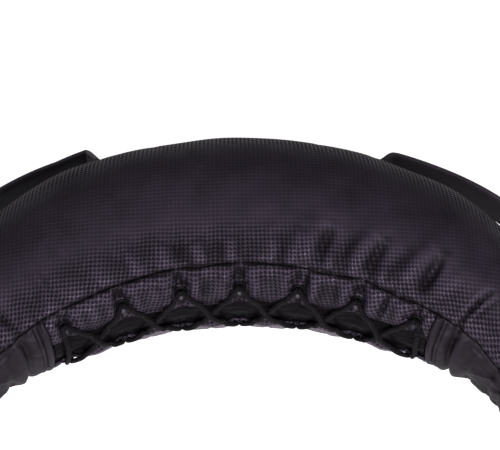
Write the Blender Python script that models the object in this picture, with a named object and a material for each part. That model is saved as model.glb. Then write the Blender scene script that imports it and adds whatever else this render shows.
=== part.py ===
"""A bulgarian bag: a stuffed crescent of embossed leather, laced along its inner side, with a grip on
each horn and a strap handle on each outer shoulder. Metres, +Z up. The bag lies on its back with its
front up and its horns towards -Y. The origin is under the middle of its bounding box.

Places on the bag are given as along, the distance on its centreline from the middle, positive to +X;
turn, the angle round the section from the middle of the lacing, positive towards the front; and out,
the distance outside the leather's outer face. A reach is a distance round the section instead of a turn.
"""

import math

import bmesh
import bpy
import numpy as np
from mathutils import Matrix, Vector

# Crescent
BAG_RADIUS = 0.0815
NECK_RADIUS = 0.030
ARC_RADIUS = 0.350
ARC_REACH = 0.210
NECK_REACH = 0.360
BEND_EASE = 0.045
HORN_TURN = math.radians(90)
SWELL_SHARES = ((0, 1), (0.26, 0.945), (0.53, 0.775), (0.67, 0.585), (0.80, 0.35), (0.90, 0.14), (1, 0))
SEAT_SHARE = 0.93
HANDLE_HEIGHT = 0.036
HEIGHT_EASE = 0.006
CENTRELINE_STEPS = 720
PROBE_REACH = 0.001

# Leather and the gaps between pieces
SKIN = 0.0024
FIT_GAP = 0.0003
SEAM_GAP = 0.0005
SEAM_TURN = math.radians(39)
UPPER_STEPS = 8
OUTER_STEPS = 4
FLOOR_STEPS = 2
LOWER_STEPS = 2
HORN_STEPS = 8

# Lacing
STATIONS = 7
LACING_END_ROOM = 0.0168
STATION_PITCH = (ARC_REACH - LACING_END_ROOM) / ((STATIONS - 1) / 2)
STEPS_PER_PITCH = 4
EYELET_REACH = 0.032
FLAP_EDGE_REACH = 0.015
FLAP_DRAW = 0.0025
FLAP_STEPS = 4
FACING_THICKNESS = 0.0012
FACING_ROOT_REACH = 0.0255
FRONT_FACING_REACH = 0.0017
BACK_FACING_REACH = 0.008
FACING_STEPS = 2
FACING_END_GAP = 0.002
EYELET_SIDES = 10
EYELET_BORE = 0.0035
EYELET_BARREL = 0.0041
EYELET_BACK = 0.0050
EYELET_RIM = 0.0055
EYELET_CROWN = 0.0047
EYELET_HEIGHT = 0.0012
EYELET_LIP = 0.0006
EYELET_BACK_GAP = 0.0005
EYELET_BACK_HEIGHT = 0.0005
HOLE_OVERRUN = 0.003

# Lace
LACE_RADIUS = 0.0023
LACE_PINCHED_RADIUS = 0.0015
LACE_RESOLUTION = 2
LACE_SIDE_SHIFT = 0.00165
LACE_OVER_EYELET = 0.0033
LACE_UNDER_EYELET = 0.0042
LACE_ON_FLAP = 0.0028
LACE_CROSSING_OVER = 0.0050
LACE_CROSSING_UNDER = 0.0001
LACE_BAR_OUT = 0.0014
LACE_DEEP_BAR = 0.0155
KNOT_SHIFT = 0.0080
KNOT_REACH = 0.0235
KNOT_OUT = 0.0042
KNOT_HALF_LENGTH = 0.0052
KNOT_HALF_WIDTH = 0.0042
KNOT_HALF_HEIGHT = 0.0034
KNOT_SIDES = 12
KNOT_RINGS = 6

# Filling
FILLER_GAP = 0.0006
FILLER_PITCHES = 1.5
FILLER_ROOM = 0.0040

# Neck and grip
BINDING_THICKNESS = 0.0015
NECK_SIDES = 24
DOME_RINGS = 6
SWING_GAP = 0.0008
COLLAR_MOUTH_ANGLE = math.radians(62)
COLLAR_WALL = 0.0035
COLLAR_LENGTH = 0.020
GRIP_RADIUS = 0.0275
GRIP_WALL = 0.0024
GRIP_LENGTH = 0.112
GRIP_SIDES = 20
CAP_HEIGHT = 0.006
CAP_RING_SHARES = ((1, 0), (1, 0.35), (0.93, 0.68), (0.70, 0.90), (0.38, 0.98))

# Strap handles
STRAP_WIDTH = 0.038
STRAP_THICKNESS = 0.004
STRAP_CHAMFER = 0.0012
STRAP_STANDOFF = 0.012
STRAP_BOW = 0.020
STRAP_STEPS = 16
TAB_LENGTH = 0.026
TAB_STEPS = 3
INNER_TAB_START = 0.071
INNER_RISE = 0.017
OUTER_RISE = 0.014
NECK_TAB_ROOM = 0.025
OUTER_TAB_START = NECK_REACH - NECK_TAB_ROOM - TAB_LENGTH
STRAP_START = INNER_TAB_START + TAB_LENGTH + INNER_RISE
STRAP_END = OUTER_TAB_START - OUTER_RISE
RISE_STEPS = 5
PATCH_THICKNESS = 0.0012
PATCH_MARGIN = 0.004
PATCH_STEPS = 4
JOINT_GAP = 0.0006

COLOURS = {
    "carbon_leather": ((0.018, 0.018, 0.021), 0.42, 0),
    "smooth_leather": ((0.016, 0.015, 0.017), 0.50, 0),
    "facing_leather": ((0.010, 0.010, 0.011), 0.45, 0),
    "braided_cord": ((0.012, 0.012, 0.013), 0.85, 0),
    "dark_nickel": ((0.10, 0.10, 0.11), 0.30, 1),
    "filling_cloth": ((0.35, 0.33, 0.28), 0.90, 0),
    "core_plastic": ((0.05, 0.05, 0.05), 0.60, 0),
    "strap_leather": ((0.020, 0.020, 0.022), 0.55, 0),
}


def eased(place, table):
    """A smooth curve through the table's (place, value) pairs, level at both ends."""
    places = [entry[0] for entry in table]
    values = [entry[1] for entry in table]
    slopes = [0.0] * len(table)
    for i in range(1, len(table) - 1):
        slopes[i] = (values[i + 1] - values[i - 1]) / (places[i + 1] - places[i - 1])
    for i in range(len(table) - 1):
        if place <= places[i + 1]:
            span = places[i + 1] - places[i]
            t = (place - places[i]) / span
            start = values[i] * (1 + 2 * t) * (1 - t) ** 2 + slopes[i] * span * t * (1 - t) ** 2
            end = values[i + 1] * t * t * (3 - 2 * t) - slopes[i + 1] * span * t * t * (1 - t)
            return start + end
    return values[-1]


def centreline_table():
    """Distances from the middle to the neck, with the heading and the place of the centreline there."""
    even = 1 / ARC_RADIUS
    turn_left = HORN_TURN - (ARC_REACH + BEND_EASE / 2) * even
    tight = turn_left / (NECK_REACH - ARC_REACH - BEND_EASE)
    alongs = np.linspace(0, NECK_REACH, CENTRELINE_STEPS + 1)
    ends = (0, ARC_REACH, ARC_REACH + BEND_EASE, NECK_REACH - BEND_EASE, NECK_REACH)
    bends = np.interp(alongs, ends, (even, even, tight, tight, 0))
    step = NECK_REACH / CENTRELINE_STEPS

    def summed(rates):
        return np.concatenate([[0], np.cumsum((rates[1:] + rates[:-1]) / 2 * step)])

    headings = summed(bends)
    return alongs, headings, summed(np.cos(headings)), summed(-np.sin(headings))


ALONGS, HEADINGS, CENTRE_XS, CENTRE_YS = centreline_table()
COLLAR_FLOOR = NECK_RADIUS + SWING_GAP + COLLAR_LENGTH
HANDLE_REACH = COLLAR_FLOOR + FIT_GAP + GRIP_LENGTH + FIT_GAP + CAP_HEIGHT
LOWEST_Y = float(CENTRE_YS[-1]) - HANDLE_REACH * math.sin(HORN_TURN)
MIDDLE_Y = -(BAG_RADIUS + LOWEST_Y) / 2


def radius_at(along):
    """Radius of the bag's outer face."""
    share = eased(min(abs(along) / NECK_REACH, 1), SWELL_SHARES)
    return NECK_RADIUS + (BAG_RADIUS - NECK_RADIUS) * share


def height_at(along):
    """Height of the centreline: the bag sinks a little into its own base, and the grips hang clear."""
    seated = SEAT_SHARE * radius_at(along)
    return (seated + HANDLE_HEIGHT + math.hypot(seated - HANDLE_HEIGHT, HEIGHT_EASE)) / 2


def heading_at(along):
    return math.copysign(float(np.interp(abs(along), ALONGS, HEADINGS)), along)


def centre_at(along):
    x = float(np.interp(abs(along), ALONGS, CENTRE_XS))
    y = float(np.interp(abs(along), ALONGS, CENTRE_YS))
    return Vector((math.copysign(x, along), y + MIDDLE_Y, height_at(along)))


def inward_at(along):
    heading = heading_at(along)
    return Vector((-math.sin(heading), -math.cos(heading), 0))


def onward_at(along):
    """Direction of the centreline, away from the middle of the bag."""
    heading = heading_at(along)
    return Vector((math.cos(heading), -math.sin(heading), 0)) * math.copysign(1, along)


def skin_point(along, turn, out):
    """A point of the bag, flattened where the section would pass through the floor."""
    radius = radius_at(along) + out
    centre = centre_at(along)
    height = max(centre.z + radius * math.sin(turn), -out)
    point = centre + inward_at(along) * (radius * math.cos(turn))
    return Vector((point.x, point.y, height))


def turn_of(along, reach):
    return reach / radius_at(along)


def evenly(start, end, steps):
    return [start + (end - start) * i / steps for i in range(steps + 1)]


def placket_alongs():
    """Places along the lacing that suit its stations, out to the ends of the flaps."""
    last = STATION_PITCH * (STATIONS - 1) / 2
    inner = evenly(-last, last, STEPS_PER_PITCH * (STATIONS - 1))
    return [-ARC_REACH] + inner + [ARC_REACH]


def station_along(index):
    return STATION_PITCH * (index - (STATIONS - 1) / 2)


def make_material(name):
    colour, roughness, metallic = COLOURS[name]
    material = bpy.data.materials.new(name)
    material.use_nodes = True
    shader = material.node_tree.nodes["Principled BSDF"]
    shader.inputs["Base Color"].default_value = (*colour, 1)
    shader.inputs["Roughness"].default_value = roughness
    shader.inputs["Metallic"].default_value = metallic
    return material


def add_object(name, data, material_name):
    obj = bpy.data.objects.new(name, data)
    data.materials.append(make_material(material_name))
    bpy.context.scene.collection.objects.link(obj)
    return obj


def finish(shape, name, material_name, smooth=True):
    """Turns a closed bmesh into a named object with its faces pointing out."""
    bmesh.ops.recalc_face_normals(shape, faces=shape.faces)
    mesh = bpy.data.meshes.new(name)
    shape.to_mesh(mesh)
    shape.free()
    if smooth:
        mesh.shade_smooth()
        mesh.set_sharp_from_angle(angle=math.radians(40))
    return add_object(name, mesh, material_name)


def wall_between(shape, first, second):
    """Quads between two open rows of vertices."""
    for i in range(len(first) - 1):
        shape.faces.new((first[i], first[i + 1], second[i + 1], second[i]))


def add_plate(shape, top_rows, bottom_rows):
    """A closed sheet: the same grid of points twice, joined round its border."""
    tops = [[shape.verts.new(point) for point in row] for row in top_rows]
    bottoms = [[shape.verts.new(point) for point in row] for row in bottom_rows]
    for sheet in (tops, bottoms):
        for i in range(len(sheet) - 1):
            wall_between(shape, sheet[i], sheet[i + 1])
    for i in (0, -1):
        wall_between(shape, tops[i], bottoms[i])
        wall_between(shape, [row[i] for row in tops], [row[i] for row in bottoms])


def add_loft(shape, rings):
    """A closed solid through rings of points, with a flat face on each end."""
    loops = [[shape.verts.new(point) for point in ring] for ring in rings]
    for i in range(len(loops) - 1):
        wall_between(shape, loops[i] + loops[i][:1], loops[i + 1] + loops[i + 1][:1])
    shape.faces.new(loops[0])
    shape.faces.new(loops[-1])


def add_turned(shape, profile, sides, place):
    """A profile of (radius, height) points turned about the place's own Z. A closed profile makes a
    ring, and one that starts and ends on the axis makes a solid."""
    ring = profile[0][0] > 0
    loops = []
    for radius, height in profile:
        if radius == 0:
            loops.append([shape.verts.new(place @ Vector((0, 0, height)))] * sides)
            continue
        angles = [math.tau * i / sides for i in range(sides)]
        points = [Vector((radius * math.cos(a), radius * math.sin(a), height)) for a in angles]
        loops.append([shape.verts.new(place @ point) for point in points])
    pairs = list(zip(loops, loops[1:]))
    if ring:
        pairs.append((loops[-1], loops[0]))
    for first, second in pairs:
        for i in range(sides):
            j = (i + 1) % sides
            corners = dict.fromkeys((first[i], first[j], second[j], second[i]))
            shape.faces.new(list(corners))


def place_on_skin(along, turn):
    """A frame on the bag's outer face, its Z pointing out and its X along the bag."""
    probe_turn = turn_of(along, PROBE_REACH)
    ahead = skin_point(along + PROBE_REACH, turn, 0) - skin_point(along - PROBE_REACH, turn, 0)
    round_it = skin_point(along, turn + probe_turn, 0) - skin_point(along, turn - probe_turn, 0)
    sideways = ahead.normalized()
    normal = sideways.cross(round_it).normalized()
    axes = Matrix((sideways, normal.cross(sideways), normal)).transposed().to_4x4()
    return Matrix.Translation(skin_point(along, turn, 0)) @ axes


def bag_sheet(name, material_name, alongs, turns_at, top_at, bottom_at):
    """A sheet on the bag. turns_at gives the turns at an along, and top_at and bottom_at the out of
    its two faces at a turn's place in that list, as a share from 0 to 1."""
    tops, bottoms = [], []
    for along in alongs:
        turns = turns_at(along)
        shares = [i / (len(turns) - 1) for i in range(len(turns))]
        tops.append([skin_point(along, turn, top_at(share)) for turn, share in zip(turns, shares)])
        bottoms.append([skin_point(along, turn, bottom_at(share)) for turn, share in zip(turns, shares)])
    shape = bmesh.new()
    add_plate(shape, tops, bottoms)
    return finish(shape, name, material_name)


def panel_turns():
    """Turns of the main panel, from seam to seam over the front, the outer side and the underside."""
    outer_floor = math.pi + math.asin(SEAT_SHARE)
    inner_floor = math.tau - math.asin(SEAT_SHARE)
    turns = evenly(SEAM_TURN, math.pi, UPPER_STEPS)
    turns += evenly(math.pi, outer_floor, OUTER_STEPS)[1:]
    turns += evenly(outer_floor, inner_floor, FLOOR_STEPS)[1:]
    turns += evenly(inner_floor, math.tau - SEAM_TURN, LOWER_STEPS)[1:]
    return turns


def ring_turns():
    """Turns of a whole section, in line with those of the main panel and the gussets."""
    return panel_turns() + evenly(-SEAM_TURN, SEAM_TURN, FLAP_STEPS)[1:-1]


def panel_alongs():
    """Places along the whole crescent, those of the lacing among them."""
    horn = evenly(ARC_REACH, NECK_REACH, HORN_STEPS)[1:]
    return [-along for along in reversed(horn)] + placket_alongs() + horn


def main_panel():
    """The leather over the front, the outer side and the underside, from seam to seam."""
    turns = panel_turns()
    bag_sheet(
        "main_panel",
        "carbon_leather",
        panel_alongs(),
        lambda along: turns,
        lambda share: 0,
        lambda share: -SKIN,
    )


def flap_edge_at(along):
    """Reach of a flap's free edge, drawn back between the eyelets."""
    phase = math.tau * (along / STATION_PITCH - (STATIONS - 1) / 2)
    last = STATION_PITCH * (STATIONS - 1) / 2
    if abs(along) > last:
        return FLAP_EDGE_REACH
    return FLAP_EDGE_REACH + FLAP_DRAW * (1 - math.cos(phase)) / 2


def flap(name, side):
    """One lacing flap, from its seam to its free edge, with a hole for each eyelet. Side is 1 for the
    front and -1 for the back."""

    def turns_at(along):
        seam = SEAM_TURN - turn_of(along, SEAM_GAP)
        edge = turn_of(along, flap_edge_at(along))
        return [side * turn for turn in evenly(seam, edge, FLAP_STEPS)]

    alongs = placket_alongs()
    body = bag_sheet(name, "carbon_leather", alongs, turns_at, lambda s: 0, lambda s: -SKIN)
    drill = bmesh.new()
    hole = (EYELET_BARREL + FIT_GAP) / math.cos(math.pi / EYELET_SIDES)
    low = -SKIN - HOLE_OVERRUN
    profile = ((0, low), (hole, low), (hole, HOLE_OVERRUN), (0, HOLE_OVERRUN))
    for index in range(STATIONS):
        along = station_along(index)
        place = place_on_skin(along, side * turn_of(along, EYELET_REACH))
        add_turned(drill, profile, EYELET_SIDES, place)
    cutter = finish(drill, name + "_drill", "dark_nickel")
    cutter.hide_render = True
    cutter.display_type = "WIRE"
    cut = body.modifiers.new("eyelet_holes", "BOOLEAN")
    cut.object = cutter
    cut.operation = "DIFFERENCE"
    cut.solver = "EXACT"


def facing(name, side, edge_reach, depth):
    """A smooth strip sewn under a flap's free edge. It dips by depth below the other one's edge."""
    alongs = [along * (1 - FACING_END_GAP / ARC_REACH) for along in placket_alongs()]

    def turns_at(along):
        return evenly(side * turn_of(along, FACING_ROOT_REACH), turn_of(along, edge_reach), FACING_STEPS)

    def top_at(share):
        return -SKIN - FIT_GAP - depth * min(share / 0.5, 1)

    bag_sheet(name, "facing_leather", alongs, turns_at, top_at, lambda s: top_at(s) - FACING_THICKNESS)


def gusset(name, side):
    """The smooth panel on the inner side between the end of the lacing and the neck."""

    def turns_at(along):
        seam = SEAM_TURN - turn_of(along, SEAM_GAP)
        return evenly(-seam, seam, FLAP_STEPS)

    alongs = evenly(side * (ARC_REACH + SEAM_GAP), side * NECK_REACH, HORN_STEPS)
    bag_sheet(name, "smooth_leather", alongs, turns_at, lambda s: 0, lambda s: -SKIN)


def eyelets(prefix, side):
    """The metal rings of one flap, each with its barrel through the leather."""
    back = -SKIN - EYELET_BACK_GAP
    profile = (
        (EYELET_BORE, back - EYELET_BACK_HEIGHT),
        (EYELET_BACK, back - EYELET_BACK_HEIGHT),
        (EYELET_BARREL, back),
        (EYELET_BARREL, FIT_GAP),
        (EYELET_RIM, FIT_GAP),
        (EYELET_CROWN, EYELET_HEIGHT),
        (EYELET_BORE, EYELET_LIP),
    )
    for index in range(STATIONS):
        along = station_along(index)
        place = place_on_skin(along, side * turn_of(along, EYELET_REACH))
        shape = bmesh.new()
        add_turned(shape, profile, EYELET_SIDES, Matrix.Identity(4))
        eyelet = finish(shape, f"{prefix}_eyelet_{index + 1}", "dark_nickel")
        eyelet.matrix_world = place


def lace_point(along, reach, out, radius=LACE_RADIUS):
    """A point of the lace's route over the flaps, with the lace's radius there."""
    return skin_point(along, turn_of(along, reach), out), radius


def lace_eyelet(index, side, shift, inwards):
    """The lace through one eyelet, pinched beside its other pass."""
    along = station_along(index)
    place = place_on_skin(along, side * turn_of(along, EYELET_REACH))
    over = place @ Vector((shift * LACE_SIDE_SHIFT, 0, LACE_OVER_EYELET))
    under = place @ Vector((shift * LACE_SIDE_SHIFT, 0, -LACE_UNDER_EYELET))
    passes = [(over, LACE_PINCHED_RADIUS), (under, LACE_PINCHED_RADIUS)]
    return passes if inwards else passes[::-1]


def lace_diagonal(index, side, over):
    """The lace outside the flaps, from station index to the next, from one flap to the other."""
    middle = station_along(index) + STATION_PITCH / 2
    crossing = LACE_CROSSING_OVER if over else LACE_CROSSING_UNDER
    lean = STATION_PITCH / 2 * FLAP_EDGE_REACH / EYELET_REACH
    return [
        lace_point(middle - lean, side * FLAP_EDGE_REACH, LACE_ON_FLAP),
        lace_point(middle, 0, crossing),
        lace_point(middle + lean, -side * FLAP_EDGE_REACH, LACE_ON_FLAP),
    ]


def lace_strand(side, deep):
    """One half of the lace, from its pass into the first station to its pass out of the last one."""
    route = []
    for index in range(STATIONS):
        route += lace_eyelet(index, side, -1, True)
        if deep:
            route.append(lace_point(station_along(index), 0, -LACE_DEEP_BAR, LACE_PINCHED_RADIUS))
        route += lace_eyelet(index, -side, 1, False)
        if index < STATIONS - 1:
            route += lace_diagonal(index, -side, deep)
    return route


def lace_route():
    """The whole lace: from the knot back to the first station by one strand, and to the knot again by
    the other."""
    knot_along = station_along(STATIONS - 1) + KNOT_SHIFT
    upper_reach = KNOT_REACH + KNOT_HALF_WIDTH + FIT_GAP
    lower_reach = KNOT_REACH - KNOT_HALF_WIDTH - FIT_GAP
    first_end = lace_point(knot_along, upper_reach, KNOT_OUT, LACE_PINCHED_RADIUS)
    bar_up = [
        lace_point(knot_along - KNOT_SHIFT / 2, -FLAP_EDGE_REACH, LACE_ON_FLAP),
        lace_point(knot_along, 0, LACE_BAR_OUT),
        lace_point(knot_along, FLAP_EDGE_REACH, LACE_ON_FLAP),
        lace_point(knot_along, lower_reach, KNOT_OUT),
    ]
    start = station_along(0) - 2 * LACE_SIDE_SHIFT
    bar_down = [
        lace_point(start, -FLAP_EDGE_REACH, LACE_ON_FLAP),
        lace_point(start, 0, LACE_BAR_OUT),
        lace_point(start, FLAP_EDGE_REACH, LACE_ON_FLAP),
    ]
    return [first_end] + lace_strand(-1, True)[::-1] + bar_down + lace_strand(1, False) + bar_up


def lace():
    """The laced cord as one tube."""
    route = lace_route()
    curve = bpy.data.curves.new("lace", "CURVE")
    curve.dimensions = "3D"
    curve.bevel_depth = LACE_RADIUS
    curve.bevel_resolution = LACE_RESOLUTION
    curve.use_fill_caps = True
    spline = curve.splines.new("POLY")
    spline.points.add(len(route) - 1)
    for point, (place, radius) in zip(spline.points, route):
        point.co = (*place, 1)
        point.radius = radius / LACE_RADIUS
    spline.use_smooth = True
    add_object("lace", curve, "braided_cord")


def lace_knot():
    """The knot that both ends of the lace go into, beside the last front eyelet."""
    along = station_along(STATIONS - 1) + KNOT_SHIFT
    place = place_on_skin(along, turn_of(along, KNOT_REACH))
    size = Matrix.Diagonal((KNOT_HALF_LENGTH, KNOT_HALF_WIDTH, KNOT_HALF_HEIGHT, 1))
    angles = evenly(0, math.pi, KNOT_RINGS)[1:-1]
    profile = [(0, -1)] + [(math.sin(a), -math.cos(a)) for a in angles] + [(0, 1)]
    shape = bmesh.new()
    add_turned(shape, profile, KNOT_SIDES, place @ Matrix.Translation((0, 0, KNOT_OUT)) @ size)
    finish(shape, "lace_knot", "braided_cord")


def filler_ring(along, laced):
    """A section of the filling. Under the lacing it is drawn in flat, clear of the lace."""
    out = -SKIN - FILLER_GAP
    room = (radius_at(along) - LACE_DEEP_BAR - FILLER_ROOM) if laced else radius_at(along)
    centre = centre_at(along)
    inward = inward_at(along)
    ring = []
    for turn in ring_turns():
        point = skin_point(along, turn, out)
        beyond = (point - centre).dot(inward) - room
        ring.append(point - inward * max(beyond, 0))
    return ring


def filler(name, start, end, laced):
    """One pouch of the filling, from start to end, its sections in line with the leather's."""
    between = [along for along in panel_alongs() if start + FILLER_GAP < along < end - FILLER_GAP]
    shape = bmesh.new()
    add_loft(shape, [filler_ring(along, laced) for along in [start] + between + [end]])
    finish(shape, name, "filling_cloth")


def neck_frame(side):
    """A frame at a neck's bending point, its Z along the grip and its X up."""
    onward = onward_at(side * NECK_REACH)
    up = Vector((0, 0, 1))
    axes = Matrix((up, onward.cross(up), onward)).transposed().to_4x4()
    return Matrix.Translation(centre_at(side * NECK_REACH)) @ axes


def binding(name, side):
    """The sewn band round the end of the leather."""
    alongs = [side * along for along in panel_alongs()[-2:]]
    shape = bmesh.new()
    walls = []
    for out in (FIT_GAP + BINDING_THICKNESS, FIT_GAP):
        rings = [[skin_point(along, turn, out) for turn in ring_turns()] for along in alongs]
        walls.append([[shape.verts.new(point) for point in ring] for ring in rings])
    outer, inner = walls
    for first, second in (outer, inner, (outer[0], inner[0]), (outer[1], inner[1])):
        wall_between(shape, first + first[:1], second + second[:1])
    finish(shape, name, "smooth_leather")


def horn_closure(name, side):
    """The rounded end of the filled horn, on which the grip bends."""
    angles = evenly(math.pi / 2, 0, DOME_RINGS)[:-1]
    profile = [(0, FIT_GAP)]
    profile += [(NECK_RADIUS * math.sin(a), FIT_GAP + NECK_RADIUS * math.cos(a)) for a in angles]
    profile += [(0, FIT_GAP + NECK_RADIUS)]
    shape = bmesh.new()
    add_turned(shape, profile, NECK_SIDES, neck_frame(side))
    finish(shape, name, "smooth_leather")


def grip_piece(name, profile, sides, material_name, joint):
    """A turned piece of a grip, in the frame of its neck's joint."""
    shape = bmesh.new()
    add_turned(shape, profile, sides, Matrix.Identity(4))
    piece = finish(shape, name, material_name)
    piece.parent = joint


def grip(prefix, side):
    """Collar, sleeve, core and end cap of one grip, on an empty at the neck's joint."""
    joint = bpy.data.objects.new(prefix + "_handle_joint", None)
    joint.matrix_world = neck_frame(side)
    bpy.context.scene.collection.objects.link(joint)

    seat = NECK_RADIUS + SWING_GAP + FIT_GAP
    angles = evenly(0, COLLAR_MOUTH_ANGLE, DOME_RINGS)
    mouth = (seat * math.sin(COLLAR_MOUTH_ANGLE), seat * math.cos(COLLAR_MOUTH_ANGLE))
    collar = [(0, seat)] + [(seat * math.sin(a), seat * math.cos(a)) for a in angles[1:]]
    collar += [
        (mouth[0] + COLLAR_WALL * 0.6, mouth[1]),
        (mouth[0] + COLLAR_WALL, mouth[1] + COLLAR_WALL),
        (GRIP_RADIUS + COLLAR_WALL * 0.4, COLLAR_FLOOR - COLLAR_WALL * 2),
        (GRIP_RADIUS, COLLAR_FLOOR),
        (0, COLLAR_FLOOR),
    ]
    grip_piece(prefix + "_collar", collar, NECK_SIDES, "smooth_leather", joint)

    start = COLLAR_FLOOR + FIT_GAP
    end = start + GRIP_LENGTH
    bore = GRIP_RADIUS - GRIP_WALL
    sleeve = ((bore, start), (GRIP_RADIUS, start), (GRIP_RADIUS, end), (bore, end))
    grip_piece(prefix + "_grip_sleeve", sleeve, GRIP_SIDES, "carbon_leather", joint)
    core_radius = bore * math.cos(math.pi / GRIP_SIDES) - FIT_GAP
    core = ((0, start), (core_radius, start), (core_radius, end), (0, end))
    grip_piece(prefix + "_grip_core", core, GRIP_SIDES, "core_plastic", joint)

    foot = end + FIT_GAP
    rings = [(GRIP_RADIUS * wide, foot + CAP_HEIGHT * high) for wide, high in CAP_RING_SHARES]
    cap = [(0, foot)] + rings + [(0, foot + CAP_HEIGHT)]
    grip_piece(prefix + "_end_cap", cap, GRIP_SIDES, "smooth_leather", joint)


def strap_section(centre, tangent, outward):
    """A chamfered strap section, its width upright."""
    upright = Vector((0, 0, 1))
    wide = (upright - tangent * upright.dot(tangent)).normalized()
    thick = wide.cross(tangent).normalized()
    thick *= math.copysign(1, thick.dot(outward))
    half_width = STRAP_WIDTH / 2
    half_thickness = STRAP_THICKNESS / 2
    full = (half_width, half_width - STRAP_CHAMFER)
    corner = (half_thickness - STRAP_CHAMFER, half_thickness)
    shape = [(full[0], corner[0]), (full[1], corner[1])]
    shape += [(-x, y) for x, y in reversed(shape)]
    shape += [(-x, -y) for x, y in shape]
    return [centre + wide * x + thick * y for x, y in shape]


def strap_out_at(along):
    """Out of the strap's middle plane where it stands off the bag."""
    share = (along - STRAP_START) / (STRAP_END - STRAP_START)
    standoff = STRAP_STANDOFF + (STRAP_BOW - STRAP_STANDOFF) * math.sin(math.pi * share)
    return standoff + STRAP_THICKNESS / 2


def tab_out():
    return FIT_GAP + PATCH_THICKNESS + FIT_GAP + STRAP_THICKNESS / 2


def strap_line(side, places):
    """Centres and tangents through (along, out) places on the bag's outer side."""
    centres = [skin_point(side * along, math.pi, out) for along, out in places]
    tangents = []
    for i in range(len(centres)):
        before = centres[max(i - 1, 0)]
        after = centres[min(i + 1, len(centres) - 1)]
        tangents.append((after - before).normalized())
    return centres, tangents


def strap_rings(side, places, joints):
    """Sections through the places. An end in joints lies in a plane square to the strap's hinge."""
    start, axis = strap_hinge(side)
    centres, tangents = strap_line(side, places)
    rings = []
    for i, (centre, tangent) in enumerate(zip(centres, tangents)):
        ring = strap_section(centre, tangent, -inward_at(side * places[i][0]))
        if i in joints:
            shift = joints[i]
            ring = [p + tangent * (shift - (p - centre).dot(axis)) / tangent.dot(axis) for p in ring]
        rings.append(ring)
    return rings


def strap_hinge(side):
    """The swinging part's axis: a point on it and its direction, away from the bag's middle."""
    start = skin_point(side * STRAP_START, math.pi, strap_out_at(STRAP_START))
    end = skin_point(side * STRAP_END, math.pi, strap_out_at(STRAP_END))
    return start, (end - start).normalized()


def strap(prefix, side):
    """The free part of a strap handle, on an empty on its hinge."""
    alongs = evenly(STRAP_START, STRAP_END, STRAP_STEPS)
    places = [(along, strap_out_at(along)) for along in alongs]
    joints = {0: JOINT_GAP / 2, STRAP_STEPS: -JOINT_GAP / 2}
    shape = bmesh.new()
    add_loft(shape, strap_rings(side, places, joints))
    start, axis = strap_hinge(side)
    joint = bpy.data.objects.new(prefix + "_strap_joint", None)
    joint.location = start
    bpy.context.scene.collection.objects.link(joint)
    bmesh.ops.translate(shape, verts=shape.verts, vec=-start)
    finish(shape, prefix + "_strap", "strap_leather").parent = joint


def strap_end(name, side, tab_start, tab_end, joint_along):
    """A sewn strap end: its tab on the bag, and the rise from there to the free part."""
    flat = [(along, tab_out()) for along in evenly(tab_start, tab_end, TAB_STEPS)]
    level = joint_along + (tab_end - joint_along) / RISE_STEPS
    climb = ((0, tab_out()), (1, strap_out_at(joint_along)))
    rise = []
    for share in evenly(0, 1, RISE_STEPS)[1:]:
        rise.append((tab_end + (level - tab_end) * share, eased(share, climb)))
    places = flat + rise + [(joint_along, strap_out_at(joint_along))]
    shift = math.copysign(JOINT_GAP / 2, tab_start - joint_along)
    shape = bmesh.new()
    add_loft(shape, strap_rings(side, places, {len(places) - 1: shift}))
    finish(shape, name, "strap_leather")


def strap_patch(name, side, low, high):
    """The reinforcing patch sewn to the bag under a strap end."""

    def turns_at(along):
        spread = turn_of(along, STRAP_WIDTH / 2 + PATCH_MARGIN)
        return evenly(math.pi - spread, math.pi + spread, PATCH_STEPS)

    alongs = evenly(side * (low - PATCH_MARGIN), side * (high + PATCH_MARGIN), PATCH_STEPS)
    top = FIT_GAP + PATCH_THICKNESS
    bag_sheet(name, "smooth_leather", alongs, turns_at, lambda s: top, lambda s: FIT_GAP)


def strap_handle(prefix, side):
    """One strap handle with both sewn ends and their patches."""
    inner_end = INNER_TAB_START + TAB_LENGTH
    outer_end = OUTER_TAB_START + TAB_LENGTH
    strap(prefix, side)
    strap_end(prefix + "_strap_inner_end", side, INNER_TAB_START, inner_end, STRAP_START)
    strap_end(prefix + "_strap_outer_end", side, outer_end, OUTER_TAB_START, STRAP_END)
    strap_patch(prefix + "_inner_patch", side, INNER_TAB_START, inner_end)
    strap_patch(prefix + "_outer_patch", side, OUTER_TAB_START, outer_end)


def filling():
    """Five pouches end to end inside the leather."""
    middle_end = STATION_PITCH * FILLER_PITCHES
    half_gap = FILLER_GAP / 2
    filler("left_horn_filler", FIT_GAP - NECK_REACH, -ARC_REACH - half_gap, False)
    filler("left_filler", half_gap - ARC_REACH, -middle_end - half_gap, True)
    filler("middle_filler", half_gap - middle_end, middle_end - half_gap, True)
    filler("right_filler", middle_end + half_gap, ARC_REACH - half_gap, True)
    filler("right_horn_filler", ARC_REACH + half_gap, NECK_REACH - FIT_GAP, False)


def build():
    for obj in list(bpy.data.objects):
        bpy.data.objects.remove(obj)
    main_panel()
    facing("front_facing", 1, FRONT_FACING_REACH, 0)
    facing("back_facing", -1, BACK_FACING_REACH, FACING_THICKNESS + FIT_GAP)
    lace()
    lace_knot()
    filling()
    for prefix, side in (("front", 1), ("back", -1)):
        flap(prefix + "_flap", side)
        eyelets(prefix, side)
    for prefix, side in (("left", -1), ("right", 1)):
        gusset(prefix + "_gusset", side)
        binding(prefix + "_neck_binding", side)
        horn_closure(prefix + "_horn_closure", side)
        grip(prefix, side)
        strap_handle(prefix, side)


build()
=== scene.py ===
"""The looks of a bulgarian bag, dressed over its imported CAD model. Metres, in the CAD's frame.

Places on the bag are given as in the CAD: along, the distance on its centreline from the middle; turn,
the angle round the section from the middle of the lacing, positive towards the front; and out, the
distance outside the leather's outer face. A reach is a distance round the section instead of a turn.
"""

import math

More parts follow.
